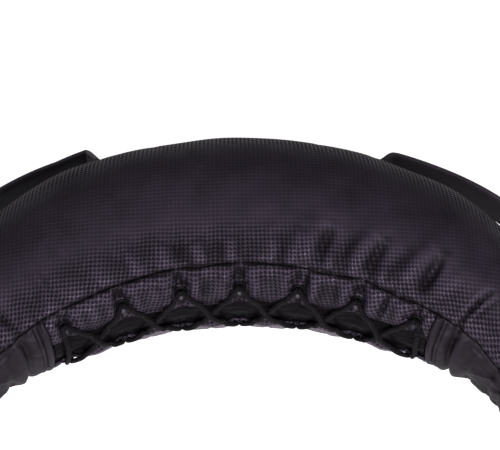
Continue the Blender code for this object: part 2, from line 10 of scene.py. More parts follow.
import bmesh
import bpy
import numpy as np
from mathutils import Matrix, Vector


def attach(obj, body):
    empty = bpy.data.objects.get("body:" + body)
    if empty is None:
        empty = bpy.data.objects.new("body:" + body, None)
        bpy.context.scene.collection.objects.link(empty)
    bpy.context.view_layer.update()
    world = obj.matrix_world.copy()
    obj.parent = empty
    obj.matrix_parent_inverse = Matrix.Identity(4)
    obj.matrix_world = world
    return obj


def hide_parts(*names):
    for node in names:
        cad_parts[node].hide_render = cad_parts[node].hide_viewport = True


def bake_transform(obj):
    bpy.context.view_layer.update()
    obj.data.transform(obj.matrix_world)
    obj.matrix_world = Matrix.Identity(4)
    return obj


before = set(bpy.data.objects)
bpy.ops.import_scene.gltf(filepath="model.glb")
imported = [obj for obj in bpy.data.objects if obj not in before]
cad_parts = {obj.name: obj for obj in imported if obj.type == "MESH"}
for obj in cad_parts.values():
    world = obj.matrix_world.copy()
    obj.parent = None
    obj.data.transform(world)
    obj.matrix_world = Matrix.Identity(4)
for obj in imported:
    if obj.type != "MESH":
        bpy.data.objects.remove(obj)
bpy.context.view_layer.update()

MM = 0.001
TAU = math.tau
SIDES = (("left", -1), ("right", 1))

# The CAD's sizes
BAG_RADIUS = 0.0815
NECK_RADIUS = 0.030
ARC_RADIUS = 0.350
ARC_REACH = 0.210
NECK_REACH = 0.360
BEND_EASE = 0.045
HORN_TURN = math.radians(90)
SWELL_SHARES = ((0, 1), (0.26, 0.945), (0.53, 0.775), (0.67, 0.585), (0.80, 0.35), (0.90, 0.14), (1, 0))
SEAT_SHARE = 0.93
HANDLE_HEIGHT = 0.036
HEIGHT_EASE = 0.006
CENTRELINE_STEPS = 720
MIDDLE_Y = 0.138185
SKIN = 0.0024
SEAM_GAP = 0.0005
SEAM_TURN = math.radians(39)
STATIONS = 7
STATION_PITCH = 0.0644
EYELET_REACH = 0.032
FLAP_EDGE_REACH = 0.015
FACING_THICKNESS = 0.0012
FACING_ROOT_REACH = 0.0255
FRONT_FACING_REACH = 0.0017
BACK_FACING_REACH = 0.008
FACING_END_GAP = 0.002
EYELET_BORE = 0.0035
EYELET_BARREL = 0.0041
EYELET_RIM = 0.0055
LACE_RADIUS = 0.0023
LACE_SIDE_SHIFT = 0.00165
LACE_OVER_EYELET = 0.0033
LACE_UNDER_EYELET = 0.0042
LACE_DEEP_BAR = 0.0155
KNOT_SHIFT = 0.0080
KNOT_REACH = 0.0235
KNOT_OUT = 0.0042
FILLER_GAP = 0.0006
FILLER_PITCHES = 1.5
FILLER_ROOM = 0.0040
BINDING_LENGTH = 0.01875
BINDING_THICKNESS = 0.0015
COLLAR_FLOOR = 0.0508
GRIP_RADIUS = 0.0275
GRIP_WALL = 0.0024
GRIP_LENGTH = 0.112
CAP_HEIGHT = 0.006
FIT_GAP = 0.0003
STRAP_WIDTH = 0.038
STRAP_THICKNESS = 0.004
STRAP_START = 0.114
STRAP_END = 0.295
STRAP_STANDOFF = 0.012
STRAP_BOW = 0.020
TAB_LENGTH = 0.026
INNER_TAB_START = 0.071
OUTER_TAB_START = 0.309
PATCH_THICKNESS = 0.0012
PATCH_MARGIN = 0.004

LAST_STATION = STATION_PITCH * (STATIONS - 1) / 2

# Azimuth, elevation and roll in degrees, and how far the view is shifted to the right and up
CAMERA_ANGLES = (-1.96, 59.03, 0.79)
CAMERA_SHIFT = (0.01099, 0.00472)
CAMERA_DISTANCE = 2.353
CAMERA_FIELD = 0.4425
CAMERA_AIM_HEIGHT = 0.076
CAMERA_REACH = 20
SENSOR_WIDTH = 36


def linked(item):
    bpy.context.scene.collection.objects.link(item)
    return item


def make_camera():
    """A long lens at the photograph's angle, aimed beside the bag's middle at its own height."""
    azimuth, elevation, roll = (math.radians(angle) for angle in CAMERA_ANGLES)
    middle = Matrix.Translation((0, MIDDLE_Y, CAMERA_AIM_HEIGHT))
    view = Matrix.Rotation(azimuth, 4, "Z") @ Matrix.Rotation(math.pi / 2 - elevation, 4, "X")
    away = Matrix.Translation((*CAMERA_SHIFT, CAMERA_DISTANCE))
    data = bpy.data.cameras.new("camera")
    data.sensor_width = SENSOR_WIDTH
    data.lens = SENSOR_WIDTH * CAMERA_DISTANCE / CAMERA_FIELD
    data.clip_end = CAMERA_REACH
    camera = linked(bpy.data.objects.new("camera", data))
    camera.matrix_world = middle @ view @ away @ Matrix.Rotation(roll, 4, "Z")
    bpy.context.scene.camera = camera


make_camera()


# Curves and arrays


def smooth(value, low, high):
    """0 below low, 1 above high, and a smooth step between."""
    t = np.clip((value - low) / (high - low), 0, 1)
    return t * t * (3 - 2 * t)


def bump(value, middle, width):
    return np.exp(-(((value - middle) / width) ** 2))


def rounded(distance, width, least=0.01):
    """A rounded edge's share of its full height, by distance from the edge."""
    return np.sqrt(np.clip(1 - (1 - np.clip(distance / width, 0, 1)) ** 2, least, 1))


def waves(place, table, turn=0.0):
    """A sum of sines. slant is how much a sine's phase grows with the turn."""
    return sum(
        height * np.sin(place / length + slant * turn + phase) for height, length, phase, slant in table
    )


def hermite(t, start, end, leaving, arriving):
    """A cubic from start to end. leaving and arriving are its slopes there, times its span."""
    head = start * (1 + 2 * t) * (1 - t) ** 2 + leaving * t * (1 - t) ** 2
    return head + end * t * t * (3 - 2 * t) - arriving * t * t * (1 - t)


def eased(share, table):
    """A smooth curve through the table's (place, value) pairs, level at both ends."""
    places, values = np.array(table, float).T
    slopes = np.zeros(len(places))
    slopes[1:-1] = (values[2:] - values[:-2]) / (places[2:] - places[:-2])
    i = np.clip(np.searchsorted(places, share) - 1, 0, len(places) - 2)
    span = places[i + 1] - places[i]
    t = (share - places[i]) / span
    return hermite(t, values[i], values[i + 1], slopes[i] * span, slopes[i + 1] * span)


def arrays(*values):
    return np.broadcast_arrays(*(np.asarray(value, float) for value in values))


def grid(rows, columns):
    return np.meshgrid(rows, columns, indexing="ij")


def pairs_of(rows, columns):
    """One (row, column) pair a point of a grid."""
    return np.stack(np.broadcast_arrays(rows[:, None], columns[None]), -1).reshape(-1, 2)


def unit(vectors):
    return vectors / np.linalg.norm(vectors, axis=-1, keepdims=True)


def run_lengths(path):
    """How far each point of a path is along it."""
    return np.concatenate([[0], np.cumsum(np.linalg.norm(np.diff(path, axis=0), axis=1))])


def sampled(place, lengths, path):
    return np.stack([np.interp(place, lengths, values) for values in path.T], -1)


def spaced(start, end, pitch):
    return np.linspace(start, end, max(int(round(abs(end - start) / pitch)), 1) + 1)


def edge_spaced(length, pitch):
    """Distances along length, closer together at both ends."""
    near = np.array([0, 0.12, 0.3, 0.55, 0.85, 1.2, 1.7, 2.4, 3.3]) * MM
    far = length - near[::-1]
    return np.concatenate([near, spaced(near[-1], far[0], pitch)[1:-1], far])


def ring_angles(count):
    return np.linspace(0, TAU, count + 1)[:-1]


# The bag's form


def centreline_table():
    even = 1 / ARC_RADIUS
    tight = (HORN_TURN - (ARC_REACH + BEND_EASE / 2) * even) / (NECK_REACH - ARC_REACH - BEND_EASE)
    alongs = np.linspace(0, NECK_REACH, CENTRELINE_STEPS + 1)
    ends = (0, ARC_REACH, ARC_REACH + BEND_EASE, NECK_REACH - BEND_EASE, NECK_REACH)
    bends = np.interp(alongs, ends, (even, even, tight, tight, 0))
    step = NECK_REACH / CENTRELINE_STEPS

    def summed(rates):
        return np.concatenate([[0], np.cumsum((rates[1:] + rates[:-1]) / 2 * step)])

    headings = summed(bends)
    return alongs, headings, summed(np.cos(headings)), summed(-np.sin(headings))


ALONGS, HEADINGS, CENTRE_XS, CENTRE_YS = centreline_table()


def radius_at(along):
    share = eased(np.minimum(np.abs(along) / NECK_REACH, 1), SWELL_SHARES)
    return NECK_RADIUS + (BAG_RADIUS - NECK_RADIUS) * share


def heading_at(along):
    return np.sign(along) * np.interp(np.abs(along), ALONGS, HEADINGS)


def centre_at(along):
    x = np.sign(along) * np.interp(np.abs(along), ALONGS, CENTRE_XS)
    y = np.interp(np.abs(along), ALONGS, CENTRE_YS) + MIDDLE_Y
    seated = SEAT_SHARE * radius_at(along)
    height = (seated + HANDLE_HEIGHT + np.hypot(seated - HANDLE_HEIGHT, HEIGHT_EASE)) / 2
    return np.stack([x, y, height], -1)


def inward_at(along):
    heading = heading_at(along)
    return np.stack([-np.sin(heading), -np.cos(heading), np.zeros_like(heading)], -1)


def base_point(along, turn, out):
    """The CAD's own surface, flat where the section would pass through the floor."""
    along, turn, out = arrays(along, turn, out)
    radius = radius_at(along) + out
    point = centre_at(along) + inward_at(along) * (radius * np.cos(turn))[..., None]
    point[..., 2] = np.maximum(point[..., 2] + radius * np.sin(turn), np.maximum(-out, 0))
    return point


def turn_of(along, reach):
    return reach / radius_at(along)


def signed(turn):
    return (turn + math.pi) % TAU - math.pi


def station(index):
    return STATION_PITCH * (index - (STATIONS - 1) / 2)


def off_station(along):
    """Distance along the bag from the nearest eyelet pair."""
    return along - STATION_PITCH * np.round(along / STATION_PITCH)


# Folds of the leather

# Ridges (or, below zero, valleys) from one place to another: along and reach of each end, half width,
# height, all in millimetres. On the panel, on the flaps, and at the gussets and necks.
FOLDS = (
    (83, 66, 88, 95, 8, -4.4), (68, 57, 71, 90, 8, 3.8), (93, 55, 91, 70, 5, 2.6),
    (116, 60, 126, 92, 8, 4.4), (132, 58, 139, 91, 7.5, -5), (147, 55, 143, 68, 5.5, 3),
    (152, 64, 160, 88, 7, -1.2), (168, 60, 179, 97, 8, 4.8), (187, 56, 191, 96, 8.5, -6.2),
    (206, 58, 213, 86, 8, 1.8), (-38, 54, -46, 76, 8, 2.8), (-60, 58, -63, 80, 8, -0.9),
    (-9, 54, -8, 80, 7, 2.8), (-24, 57, -23, 78, 6.5, -1), (14, 57, 14, 80, 8, -1.2),
    (35, 56, 33, 80, 6.5, 2.2), (51, 55, 62, 88, 8.5, 4), (-84, 56, -74, 78, 9.5, 2.6),
    (-103, 56, -110, 78, 8, 1.4), (-140, 52, -150, 74, 9, 1.5), (-172, 50, -190, 78, 9, 1.6),
    (79, 26, 82, 47, 7.8, 4), (71, 22, 73, 52, 3.4, -3.8), (143, 24, 148, 44, 6.6, 3.2),
    (156, 22, 160, 50, 3.4, -3), (134, 22, 131, 50, 3.4, -2.8), (116, 24, 112, 48, 6, 2.2),
    (176, 24, 172, 46, 6, 2.2), (-64, 22, -66, 50, 3.6, -2.4), (-130, 22, -133, 50, 3.6, -2.4),
    (-50, 26, -46, 48, 7, 2.4), (-160, 24, -163, 44, 8, 2.2), (-96, 24, -93, 44, 9, 1.8),
    (14, 24, 20, 46, 8.4, 1.5), (-26, 22, -22, 46, 8.4, 1.7), (-89, 46, -76, 47, 4.5, 2),
    (-57, 46, -43, 43, 4.5, 1.8), (-19, 45, -9, 45, 4.5, 1.7), (6, 44, 18, 43, 4.5, 1.6),
    (46, 46, 57, 47, 4.5, 2), (-128, 44, -116, 46, 4.5, 1.8),
    (238, -60, 236, 46, 4.8, -6), (231, -56, 229, 44, 7, 2), (248, -56, 247, 44, 9, 3.2),
    (266, -50, 266, 44, 5.4, -2), (-241, -60, -239, 46, 5.4, -4), (-252, -56, -251, 44, 9, 2.4),
    (-268, -50, -266, 44, 5.4, -2), (236, 48, 243, 82, 2.9, -3.6), (241, 50, 247, 82, 3.6, 1.7),
    (-240, 46, -246, 80, 6, -2.4), (300, -40, 300, 60, 5.4, -2.2), (318, -40, 316, 60, 4.8, -1.9),
    (-298, -40, -300, 60, 5.4, -2), (-320, -40, -318, 60, 4.8, -1.9),
)
# The front flap's free edge: along and reach, in millimetres
FRONT_EDGE = (
    (-210, 16), (-175, 15.5), (-146, 14.2), (-95, 13.6), (-60, 12.2), (-29, 12.6), (0, 13.6), (35, 14.4),
    (102, 15.6), (158, 17), (210, 17),
)
BACK_EDGE_REACH = 0.0208
BACK_EDGE_DRAW = 0.0034
BACK_LACE_OVER = 1.7 * MM
TAB_SINK = 2.4 * MM
FRONT_RING_SINK = 0.8 * MM
BACK_RING_SINK = 0.2 * MM
FRONT_BILLOW = 3.5 * MM
BACK_BILLOW = 3.0 * MM
GATHER_PITCH = STATION_PITCH / 2
# Sines: height in millimetres, or a share for the puckers, then length, phase and slant
SEAM_SWAY = ((0.7, 0.0171, 0.6, 0), (0.5, 0.0107, 2.1, 0))
SEAM_PUCKERS = ((1, 0.00155, 0, 0), (0.8, 0.00121, 1, 0), (0.7, 0.0027, 2, 0))
LUMPS = ((0.55, 0.0145, 0, 3), (0.5, 0.0093, 1, -4), (0.45, 0.0212, 2, 7))
# Broad swellings of the rim: height in millimetres, along and half length
RIM_SWELLS = ((4.8, -0.140, 0.050), (3.2, 0.168, 0.038), (1.2, 0.085, 0.030))
RIM_TURN, RIM_HALF_TURN = 2.56, 0.30


def seam_turn(along):
    """Turn of the lacing seam, slightly wavy."""
    tuck = -0.9 * smooth(along, 0.070, 0.082) + 0.9 * smooth(along, 0.104, 0.125)
    window = 1 - smooth(np.abs(along), 0.27, 0.33)
    return SEAM_TURN + (waves(along, SEAM_SWAY) + tuck) * window * MM / radius_at(along)


def station_profile(along, slack):
    """Across one pitch of the lacing: drawn in at a station, highest beside it or midway when slack."""
    off = np.abs(off_station(along)) / MM
    wave = 0.28 - (0.85 - 0.55 * slack) * bump(off, 0, 6.5) + (0.6 - 0.3 * slack) * bump(off, 15, 7.5)
    wave = wave + (0.25 + 0.75 * slack) * bump(off, 32, 14)
    return wave * (1 - smooth(np.abs(along), LAST_STATION + 0.006, ARC_REACH + 0.004))


def eyelet_creases(along, reach):
    """Ridges that fan out from each eyelet."""
    total = np.zeros(np.broadcast(along, reach).shape)
    for index in range(STATIONS):
        across, round_it = (along - station(index)) / MM, (np.abs(reach) - EYELET_REACH) / MM
        distance = np.hypot(across, round_it)
        angle = np.arctan2(round_it, across)
        shift = 1.7 * index + 0.9 * np.sign(reach)
        ridges = np.abs(np.cos(4 * angle + shift)) ** 3 + 0.7 * np.abs(np.cos(2.5 * angle + 2 * shift)) ** 4
        total += (ridges - 0.6) * smooth(distance, 5.5, 9) * np.exp(-np.maximum(distance - 9, 0) / 9)
    return total * 0.75 * MM


def placed_folds(along, reach):
    total = np.zeros(np.broadcast(along, reach).shape)
    a, q = along / MM, reach / MM
    for a0, q0, a1, q1, width, height in FOLDS:
        da, dq = a1 - a0, q1 - q0
        share = np.clip(((a - a0) * da + (q - q0) * dq) / math.hypot(da, dq) ** 2, 0, 1)
        beyond = np.hypot(a - a0 - share * da, q - q0 - share * dq)
        total += height * (0.3 + 0.7 * np.sin(math.pi * share)) * bump(beyond, 0, width)
    return total * MM


def near_ring(along, reach):
    """1 away from the eyelets and 0 under their rings."""
    distance = np.hypot(off_station(along), np.abs(reach) - EYELET_REACH)
    ends = smooth(np.abs(along), LAST_STATION + 0.016, LAST_STATION + 0.020)
    return np.maximum(smooth(distance, 0.0050, np.where(reach > 0, 0.0085, 0.0115)), ends)


def near_tabs(along, turn):
    """1 away from the strap ends and 0 under them."""
    off = np.abs(signed(turn - math.pi)) * radius_at(along)
    aside = smooth(off, STRAP_WIDTH / 2 + 0.004, STRAP_WIDTH / 2 + 0.016)
    starts = (INNER_TAB_START, OUTER_TAB_START)
    past = [smooth(np.abs(np.abs(along) - start - TAB_LENGTH / 2), 0.018, 0.030) for start in starts]
    return np.maximum(aside, np.minimum(*past))


def relief(along, turn):
    """How far the leather stands out of the CAD's surface in its folds and billows."""
    t = signed(turn)
    radius = radius_at(along)
    reach = t * radius
    s, far = np.abs(reach), np.abs(along)
    off_seam = s - SEAM_TURN * radius
    front = smooth(t, -0.02, 0.02)
    billow = FRONT_BILLOW * front + BACK_BILLOW * (1 - front)
    rise = 0.45 + 0.55 * smooth(s, FLAP_EDGE_REACH, 0.024)
    fall = 1 - smooth(off_seam, -0.012 + 0.004 * front, 0.004 - 0.003 * front)
    laced = billow * station_profile(along, 1 - front) * rise * fall
    creases = eyelet_creases(along, reach) * (1 - smooth(off_seam, -0.004, 0.020))
    beyond = np.maximum(off_seam, 0)
    drawn = smooth(beyond, 0, 0.006) * np.exp(-beyond / 0.017) * (1 - smooth(far, 0.19, 0.24))
    gathers = 1.1 * MM * np.cos(TAU * (along + 0.0085) / GATHER_PITCH) * drawn
    puckers = 0.16 * MM * waves(along, SEAM_PUCKERS) * np.exp(-np.abs(off_seam) / 0.006)
    dip = -0.7 * MM * np.exp(-np.abs(off_seam) / 0.0018)
    lumps = 0.45 * MM * waves(along, LUMPS, t) * smooth(s, 0.02, 0.05) * (1 - smooth(far, 0.31, 0.35))
    swell = sum(height * bump(along, middle, width) for height, middle, width in RIM_SWELLS)
    swell = swell * MM * bump(t, RIM_TURN, RIM_HALF_TURN)
    total = laced + swell + creases + gathers + placed_folds(along, reach) + lumps
    total = total + (puckers + dip) * (1 - smooth(far, 0.335, 0.35))
    free = near_ring(along, reach)
    sunk = np.where(t > 0, FRONT_RING_SINK, BACK_RING_SINK) * (1 - free)
    clear = near_tabs(along, turn)
    return ((total * free - sunk) * clear - TAB_SINK * (1 - clear)) * (1 - smooth(far, 0.337, 0.341))


def placket_relief(along, reach):
    """The folds of the strip between the flaps, carried on from the flaps' free edges."""
    edge = FLAP_EDGE_REACH + 0.002
    share = np.clip((reach / edge + 1) / 2, 0, 1)
    front = relief(along, turn_of(along, np.maximum(reach, edge)))
    back = relief(along, turn_of(along, np.minimum(reach, -edge)))
    return front * share + back * (1 - share)


# A cloth simulation gives the leather its loose folds

CLOTH_PITCH = 0.0042
CLOTH_FRAMES = 20
CLOTH_CAP = 0.0028
CLOTH_INSET = 0.0015
CLOTH_BROAD_ROUNDS = 60
PIN_LEVELS = 20
CLOTH_SETTINGS = {
    "quality": 6,
    "mass": 0.4,
    "tension_stiffness": 18,
    "compression_stiffness": 18,
    "shear_stiffness": 12,
    "bending_stiffness": 0.6,
    "air_damping": 4,
    "vertex_group_mass": "pins",
    "pin_stiffness": 4,
    "shrink_min": -0.035,
    "use_pressure": True,
    "uniform_pressure_force": 4,
}


def tube_faces(rows, columns):
    index = np.arange(rows * columns).reshape(rows, columns)
    across = np.roll(index, -1, axis=1)
    return np.stack([index[:-1], across[:-1], across[1:], index[1:]], -1).reshape(-1, 4)


def held_share(along, turn):
    """How firmly the cloth is pinned: at the eyelets, the seams, the floor, the necks and the straps."""
    radius = radius_at(along)
    reach = signed(turn) * radius
    s = np.abs(reach)
    held = [
        1 - near_ring(along, reach),
        (1 - smooth(s, 0.010, 0.018)) * (np.abs(along) < ARC_REACH),
        0.75 * bump(s, SEAM_TURN * radius, 0.004),
        smooth(np.abs(along), 0.33, 0.345),
        1 - near_tabs(along, turn),
        (base_point(along, turn, 0)[..., 2] < 0.0005) * 1.0,
    ]
    return np.max(held, axis=0)


def simulate_cloth():
    """Lets a skin of the bag grow a little and settle under pressure from inside, and gives its moves.

    Only its folds are kept: the broad moves, which would shift the whole bag, are taken out again.
    """
    rows = int(2 * NECK_REACH / CLOTH_PITCH) + 1
    columns = int(TAU * BAG_RADIUS / CLOTH_PITCH)
    along, turn = grid(np.linspace(-NECK_REACH, NECK_REACH, rows), np.arange(columns) * TAU / columns)
    held = held_share(along, turn)
    rest = base_point(along, turn, -CLOTH_INSET * (1 - held))
    mesh = bpy.data.meshes.new("cloth_skin")
    mesh.from_pydata(rest.reshape(-1, 3), [], tube_faces(rows, columns)[:, ::-1])
    cloth = linked(bpy.data.objects.new("cloth_skin", mesh))
    pins = cloth.vertex_groups.new(name="pins")
    for level in range(1, PIN_LEVELS + 1):
        chosen = np.flatnonzero(np.round(held.ravel() * PIN_LEVELS) == level)
        if len(chosen):
            pins.add(chosen.tolist(), level / PIN_LEVELS, "REPLACE")
    modifier = cloth.modifiers.new("cloth", "CLOTH")
    for key, value in CLOTH_SETTINGS.items():
        setattr(modifier.settings, key, value)
    modifier.settings.effector_weights.gravity = 0
    modifier.collision_settings.use_collision = False
    modifier.point_cache.frame_start = 1
    modifier.point_cache.frame_end = CLOTH_FRAMES
    for number in range(1, CLOTH_FRAMES + 1):
        bpy.context.scene.frame_set(number)
    shape = cloth.evaluated_get(bpy.context.evaluated_depsgraph_get()).data
    settled = np.empty(len(mesh.vertices) * 3, np.float32)
    shape.vertices.foreach_get("co", settled)
    moves = settled.reshape(rest.shape) - base_point(along, turn, 0)
    bpy.data.objects.remove(cloth)
    bpy.data.meshes.remove(mesh)
    bpy.context.scene.frame_set(1)
    broad = moves.copy()
    for _ in range(CLOTH_BROAD_ROUNDS):
        broad = (2 * broad + np.roll(broad, 1, axis=1) + np.roll(broad, -1, axis=1)) / 4
        broad = (2 * broad + broad[[0, *range(rows - 1)]] + broad[[*range(1, rows), rows - 1]]) / 4
    moves -= broad
    size = np.linalg.norm(moves, axis=-1, keepdims=True)
    moves *= CLOTH_CAP * np.tanh(size / CLOTH_CAP) / np.maximum(size, 1e-9)
    above_seam = (np.abs(signed(turn)) - SEAM_TURN) * radius_at(along)
    taut = 1 - 0.75 * smooth(above_seam, 0.022, 0.055)
    return moves * (taut * (1 - smooth(held, 0.55, 1)))[..., None]


DRIFT = simulate_cloth()


def drift_at(along, turn):
    """How far the simulated leather has moved, at any along and turn."""
    along, turn = arrays(along, turn)
    if DRIFT is None:
        return np.zeros(along.shape + (3,))
    rows, columns = DRIFT.shape[:2]
    i = np.clip((along + NECK_REACH) / (2 * NECK_REACH) * (rows - 1), 0, rows - 1.001)
    j = (turn % TAU) / TAU * columns
    i0, j0 = i.astype(int), j.astype(int) % columns
    fi, fj = (i - i0)[..., None], (j - np.floor(j))[..., None]
    j1 = (j0 + 1) % columns
    low = DRIFT[i0, j0] * (1 - fj) + DRIFT[i0, j1] * fj
    high = DRIFT[i0 + 1, j0] * (1 - fj) + DRIFT[i0 + 1, j1] * fj
    return low * (1 - fi) + high * fi


def skin(along, turn, out):
    """A point of the finished leather, never below the floor."""
    along, turn, out = arrays(along, turn, out)
    point = base_point(along, turn, out + relief(along, turn)) + drift_at(along, turn)
    point[..., 2] = np.maximum(point[..., 2], np.maximum(-out, 0))
    return point


# Meshes

SHARP_ANGLE = math.radians(50)
LEAST_EDGE = 0.0025
BEAD_INSET, BEAD_WIDTH = 2.0 * MM, 1.4 * MM
# A place's height over others this far away, and the height at which its wear and painted light are full:
# highlight on crests, shade in hollows
CREST_STEP, CREST_HEIGHT = 0.004, 0.35 * MM


def add_mesh(name, points, faces, uvs, materials, picks=None, sharp=True, **values):
    """A smooth-shaded object. uvs, one pair a vertex, are in metres; picks are its faces' materials.

    Further values, one a vertex, are attributes that the leather reads: its wear with the folds' painted
    highlight and shade, and its polish with painted sheen.
    """
    mesh = bpy.data.meshes.new(name)
    mesh.from_pydata(np.asarray(points, float).reshape(-1, 3), [], faces)
    for material in materials:
        mesh.materials.append(material)
    if picks is not None:
        mesh.polygons.foreach_set("material_index", np.array(picks, np.int32))
    if uvs is not None:
        loops = np.empty(len(mesh.loops), np.int32)
        mesh.loops.foreach_get("vertex_index", loops)
        layer = mesh.uv_layers.new(name="UVMap")
        layer.data.foreach_set("uv", np.asarray(uvs, np.float32).reshape(-1, 2)[loops].ravel())
    for label, numbers in values.items():
        layer = mesh.attributes.new(label, "FLOAT", "POINT")
        layer.data.foreach_set("value", np.asarray(numbers, np.float32).ravel())
    shape = bmesh.new()
    shape.from_mesh(mesh)
    bmesh.ops.recalc_face_normals(shape, faces=shape.faces)
    shape.to_mesh(mesh)
    shape.free()
    mesh.shade_smooth()
    if sharp:
        mesh.set_sharp_from_angle(angle=SHARP_ANGLE)
    return linked(bpy.data.objects.new(name, mesh))


def dressed(piece, slot, *nodes, body="bag", fill=None):
    """Attaches a finished piece to the body it rides on and hides the CAD parts it stands for. What it is
    made of (slot) and how full a padded one is (fill) are not used.
    """
    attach(piece, body)
    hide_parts(*nodes)


def plate_faces(rows, columns):
    """Faces of a closed plate: its top grid, its bottom grid and the wall round them."""
    top = np.arange(rows * columns).reshape(rows, columns)
    low = top + rows * columns
    faces = [np.stack([top[:-1, :-1], top[1:, :-1], top[1:, 1:], top[:-1, 1:]], -1).reshape(-1, 4)]
    faces.append(faces[0][:, ::-1] + rows * columns)
    for side in (np.s_[0], np.s_[-1], np.s_[:, 0], np.s_[:, -1]):
        first, second = top[side], low[side]
        faces.append(np.stack([first[:-1], first[1:], second[1:], second[:-1]], -1))
    return np.concatenate(faces)


def loop_faces(rows, columns):
    """Faces of a grid closed both ways."""
    index = np.arange(rows * columns).reshape(rows, columns)
    next_row, next_column = np.roll(index, -1, axis=0), np.roll(index, -1, axis=1)
    return np.stack([index, next_column, np.roll(next_row, -1, axis=1), next_row], -1).reshape(-1, 4)


def capped(rings, ends, uvs):
    """Points, faces and uvs of a tube of rings, closed by fans round its two end points."""
    rows, columns = rings.shape[:2]
    faces = tube_faces(rows, columns).tolist()
    for k in range(columns):
        after = (k + 1) % columns
        faces.append([rows * columns, after, k])
        faces.append([rows * columns + 1, (rows - 1) * columns + k, (rows - 1) * columns + after])
    points = np.concatenate([rings.reshape(-1, 3), ends])
    return points, faces, np.concatenate([uvs.reshape(-1, 2), np.zeros((2, 2))])


def plate(name, tops, bottoms, uvs, materials, **values):
    points, both_uvs = np.stack([tops, bottoms]), np.stack([uvs, uvs])
    values = {label: np.stack([numbers, numbers]) for label, numbers in values.items()}
    return add_mesh(name, points, plate_faces(*tops.shape[:2]), both_uvs, materials, **values)


def crest_of(along, turn):
    """How far a place stands proud of its surroundings, for the leather's wear and for its painted light:
    highlight on crests, shade in hollows.
    """
    step = turn_of(along, CREST_STEP)
    ahead = relief(along + CREST_STEP, turn) + relief(along - CREST_STEP, turn)
    round_it = relief(along, turn + step) + relief(along, turn - step)
    return np.clip((relief(along, turn) - (ahead + round_it) / 4) / CREST_HEIGHT, -1, 1)


def rub_and_painted_sheen_of(along, turn):
    """How far the weave is rubbed smooth, and where a pale painted sheen lies.

    It is 1 on top of the bag and -1, fresh, behind. It is 2 on the lower flap away from its rings, a painted
    reflection of the floor, and on a small tongue under each upper eyelet, a painted highlight.
    """
    t = signed(turn)
    reach = t * radius_at(along)
    beyond = np.abs(reach) - SEAM_TURN * radius_at(along)
    worn = smooth(beyond, 0.018, 0.046) * (1 - smooth(np.abs(t), 2.05, 2.40)) - smooth(np.abs(t), 2.15, 2.50)
    off = off_station(along)
    painted_floor_reflection = smooth(-reach, 0.020, 0.026) * (1 - smooth(beyond, -0.004, 0.006))
    painted_floor_reflection = painted_floor_reflection * smooth(np.hypot(off, reach + EYELET_REACH), 0.0095, 0.0145)
    painted_tongue_highlight = bump(off, 0, 0.0040) * bump(reach, 0.0215, 0.0036) * (np.abs(along) < LAST_STATION + 0.01)
    return worn + 2 * np.maximum(painted_floor_reflection, painted_tongue_highlight)


def leather_faces(along, turn, distance, raised):
    """Both faces of a leather sheet whose edges are rounded. distance is from its nearest edge."""
    half = SKIN / 2 * rounded(distance, SKIN / 2, LEAST_EDGE)
    return skin(along, turn, half - SKIN / 2 + raised), skin(along, turn, -SKIN / 2 - half)


def leather_sheet(name, along, turn, distance, bead=0.0):
    """A sheet of the bag's embossed leather, with a bead along its edges."""
    faces = leather_faces(along, turn, distance, bead * bump(distance, BEAD_INSET, BEAD_WIDTH))
    rub_and_painted_light = {"crest": crest_of(along, turn), "rub_and_painted_sheen": rub_and_painted_sheen_of(along, turn)}
    return plate(name, *faces, sheet_uvs(along, turn), [CARBON], **rub_and_painted_light)


def sheet_uvs(along, turn):
    """Places on the flat sheet that a panel was cut from, its grid square to the bag's own axes."""
    t = turn % TAU
    round_it = np.where(t < math.pi, t - math.pi / 2, 1.5 * math.pi - t) * radius_at(along)
    return (centre_at(along) - inward_at(along) * round_it[..., None])[..., :2]


def strip_uvs(along, turn):
    return np.stack([along, signed(turn) * radius_at(along)], -1)


# Materials

WEAVE_PITCH = 0.0036
BRAID_PITCH = 0.0029
BRAID_STRANDS = 5
CLOTH_THREAD_PITCH = 0.0012


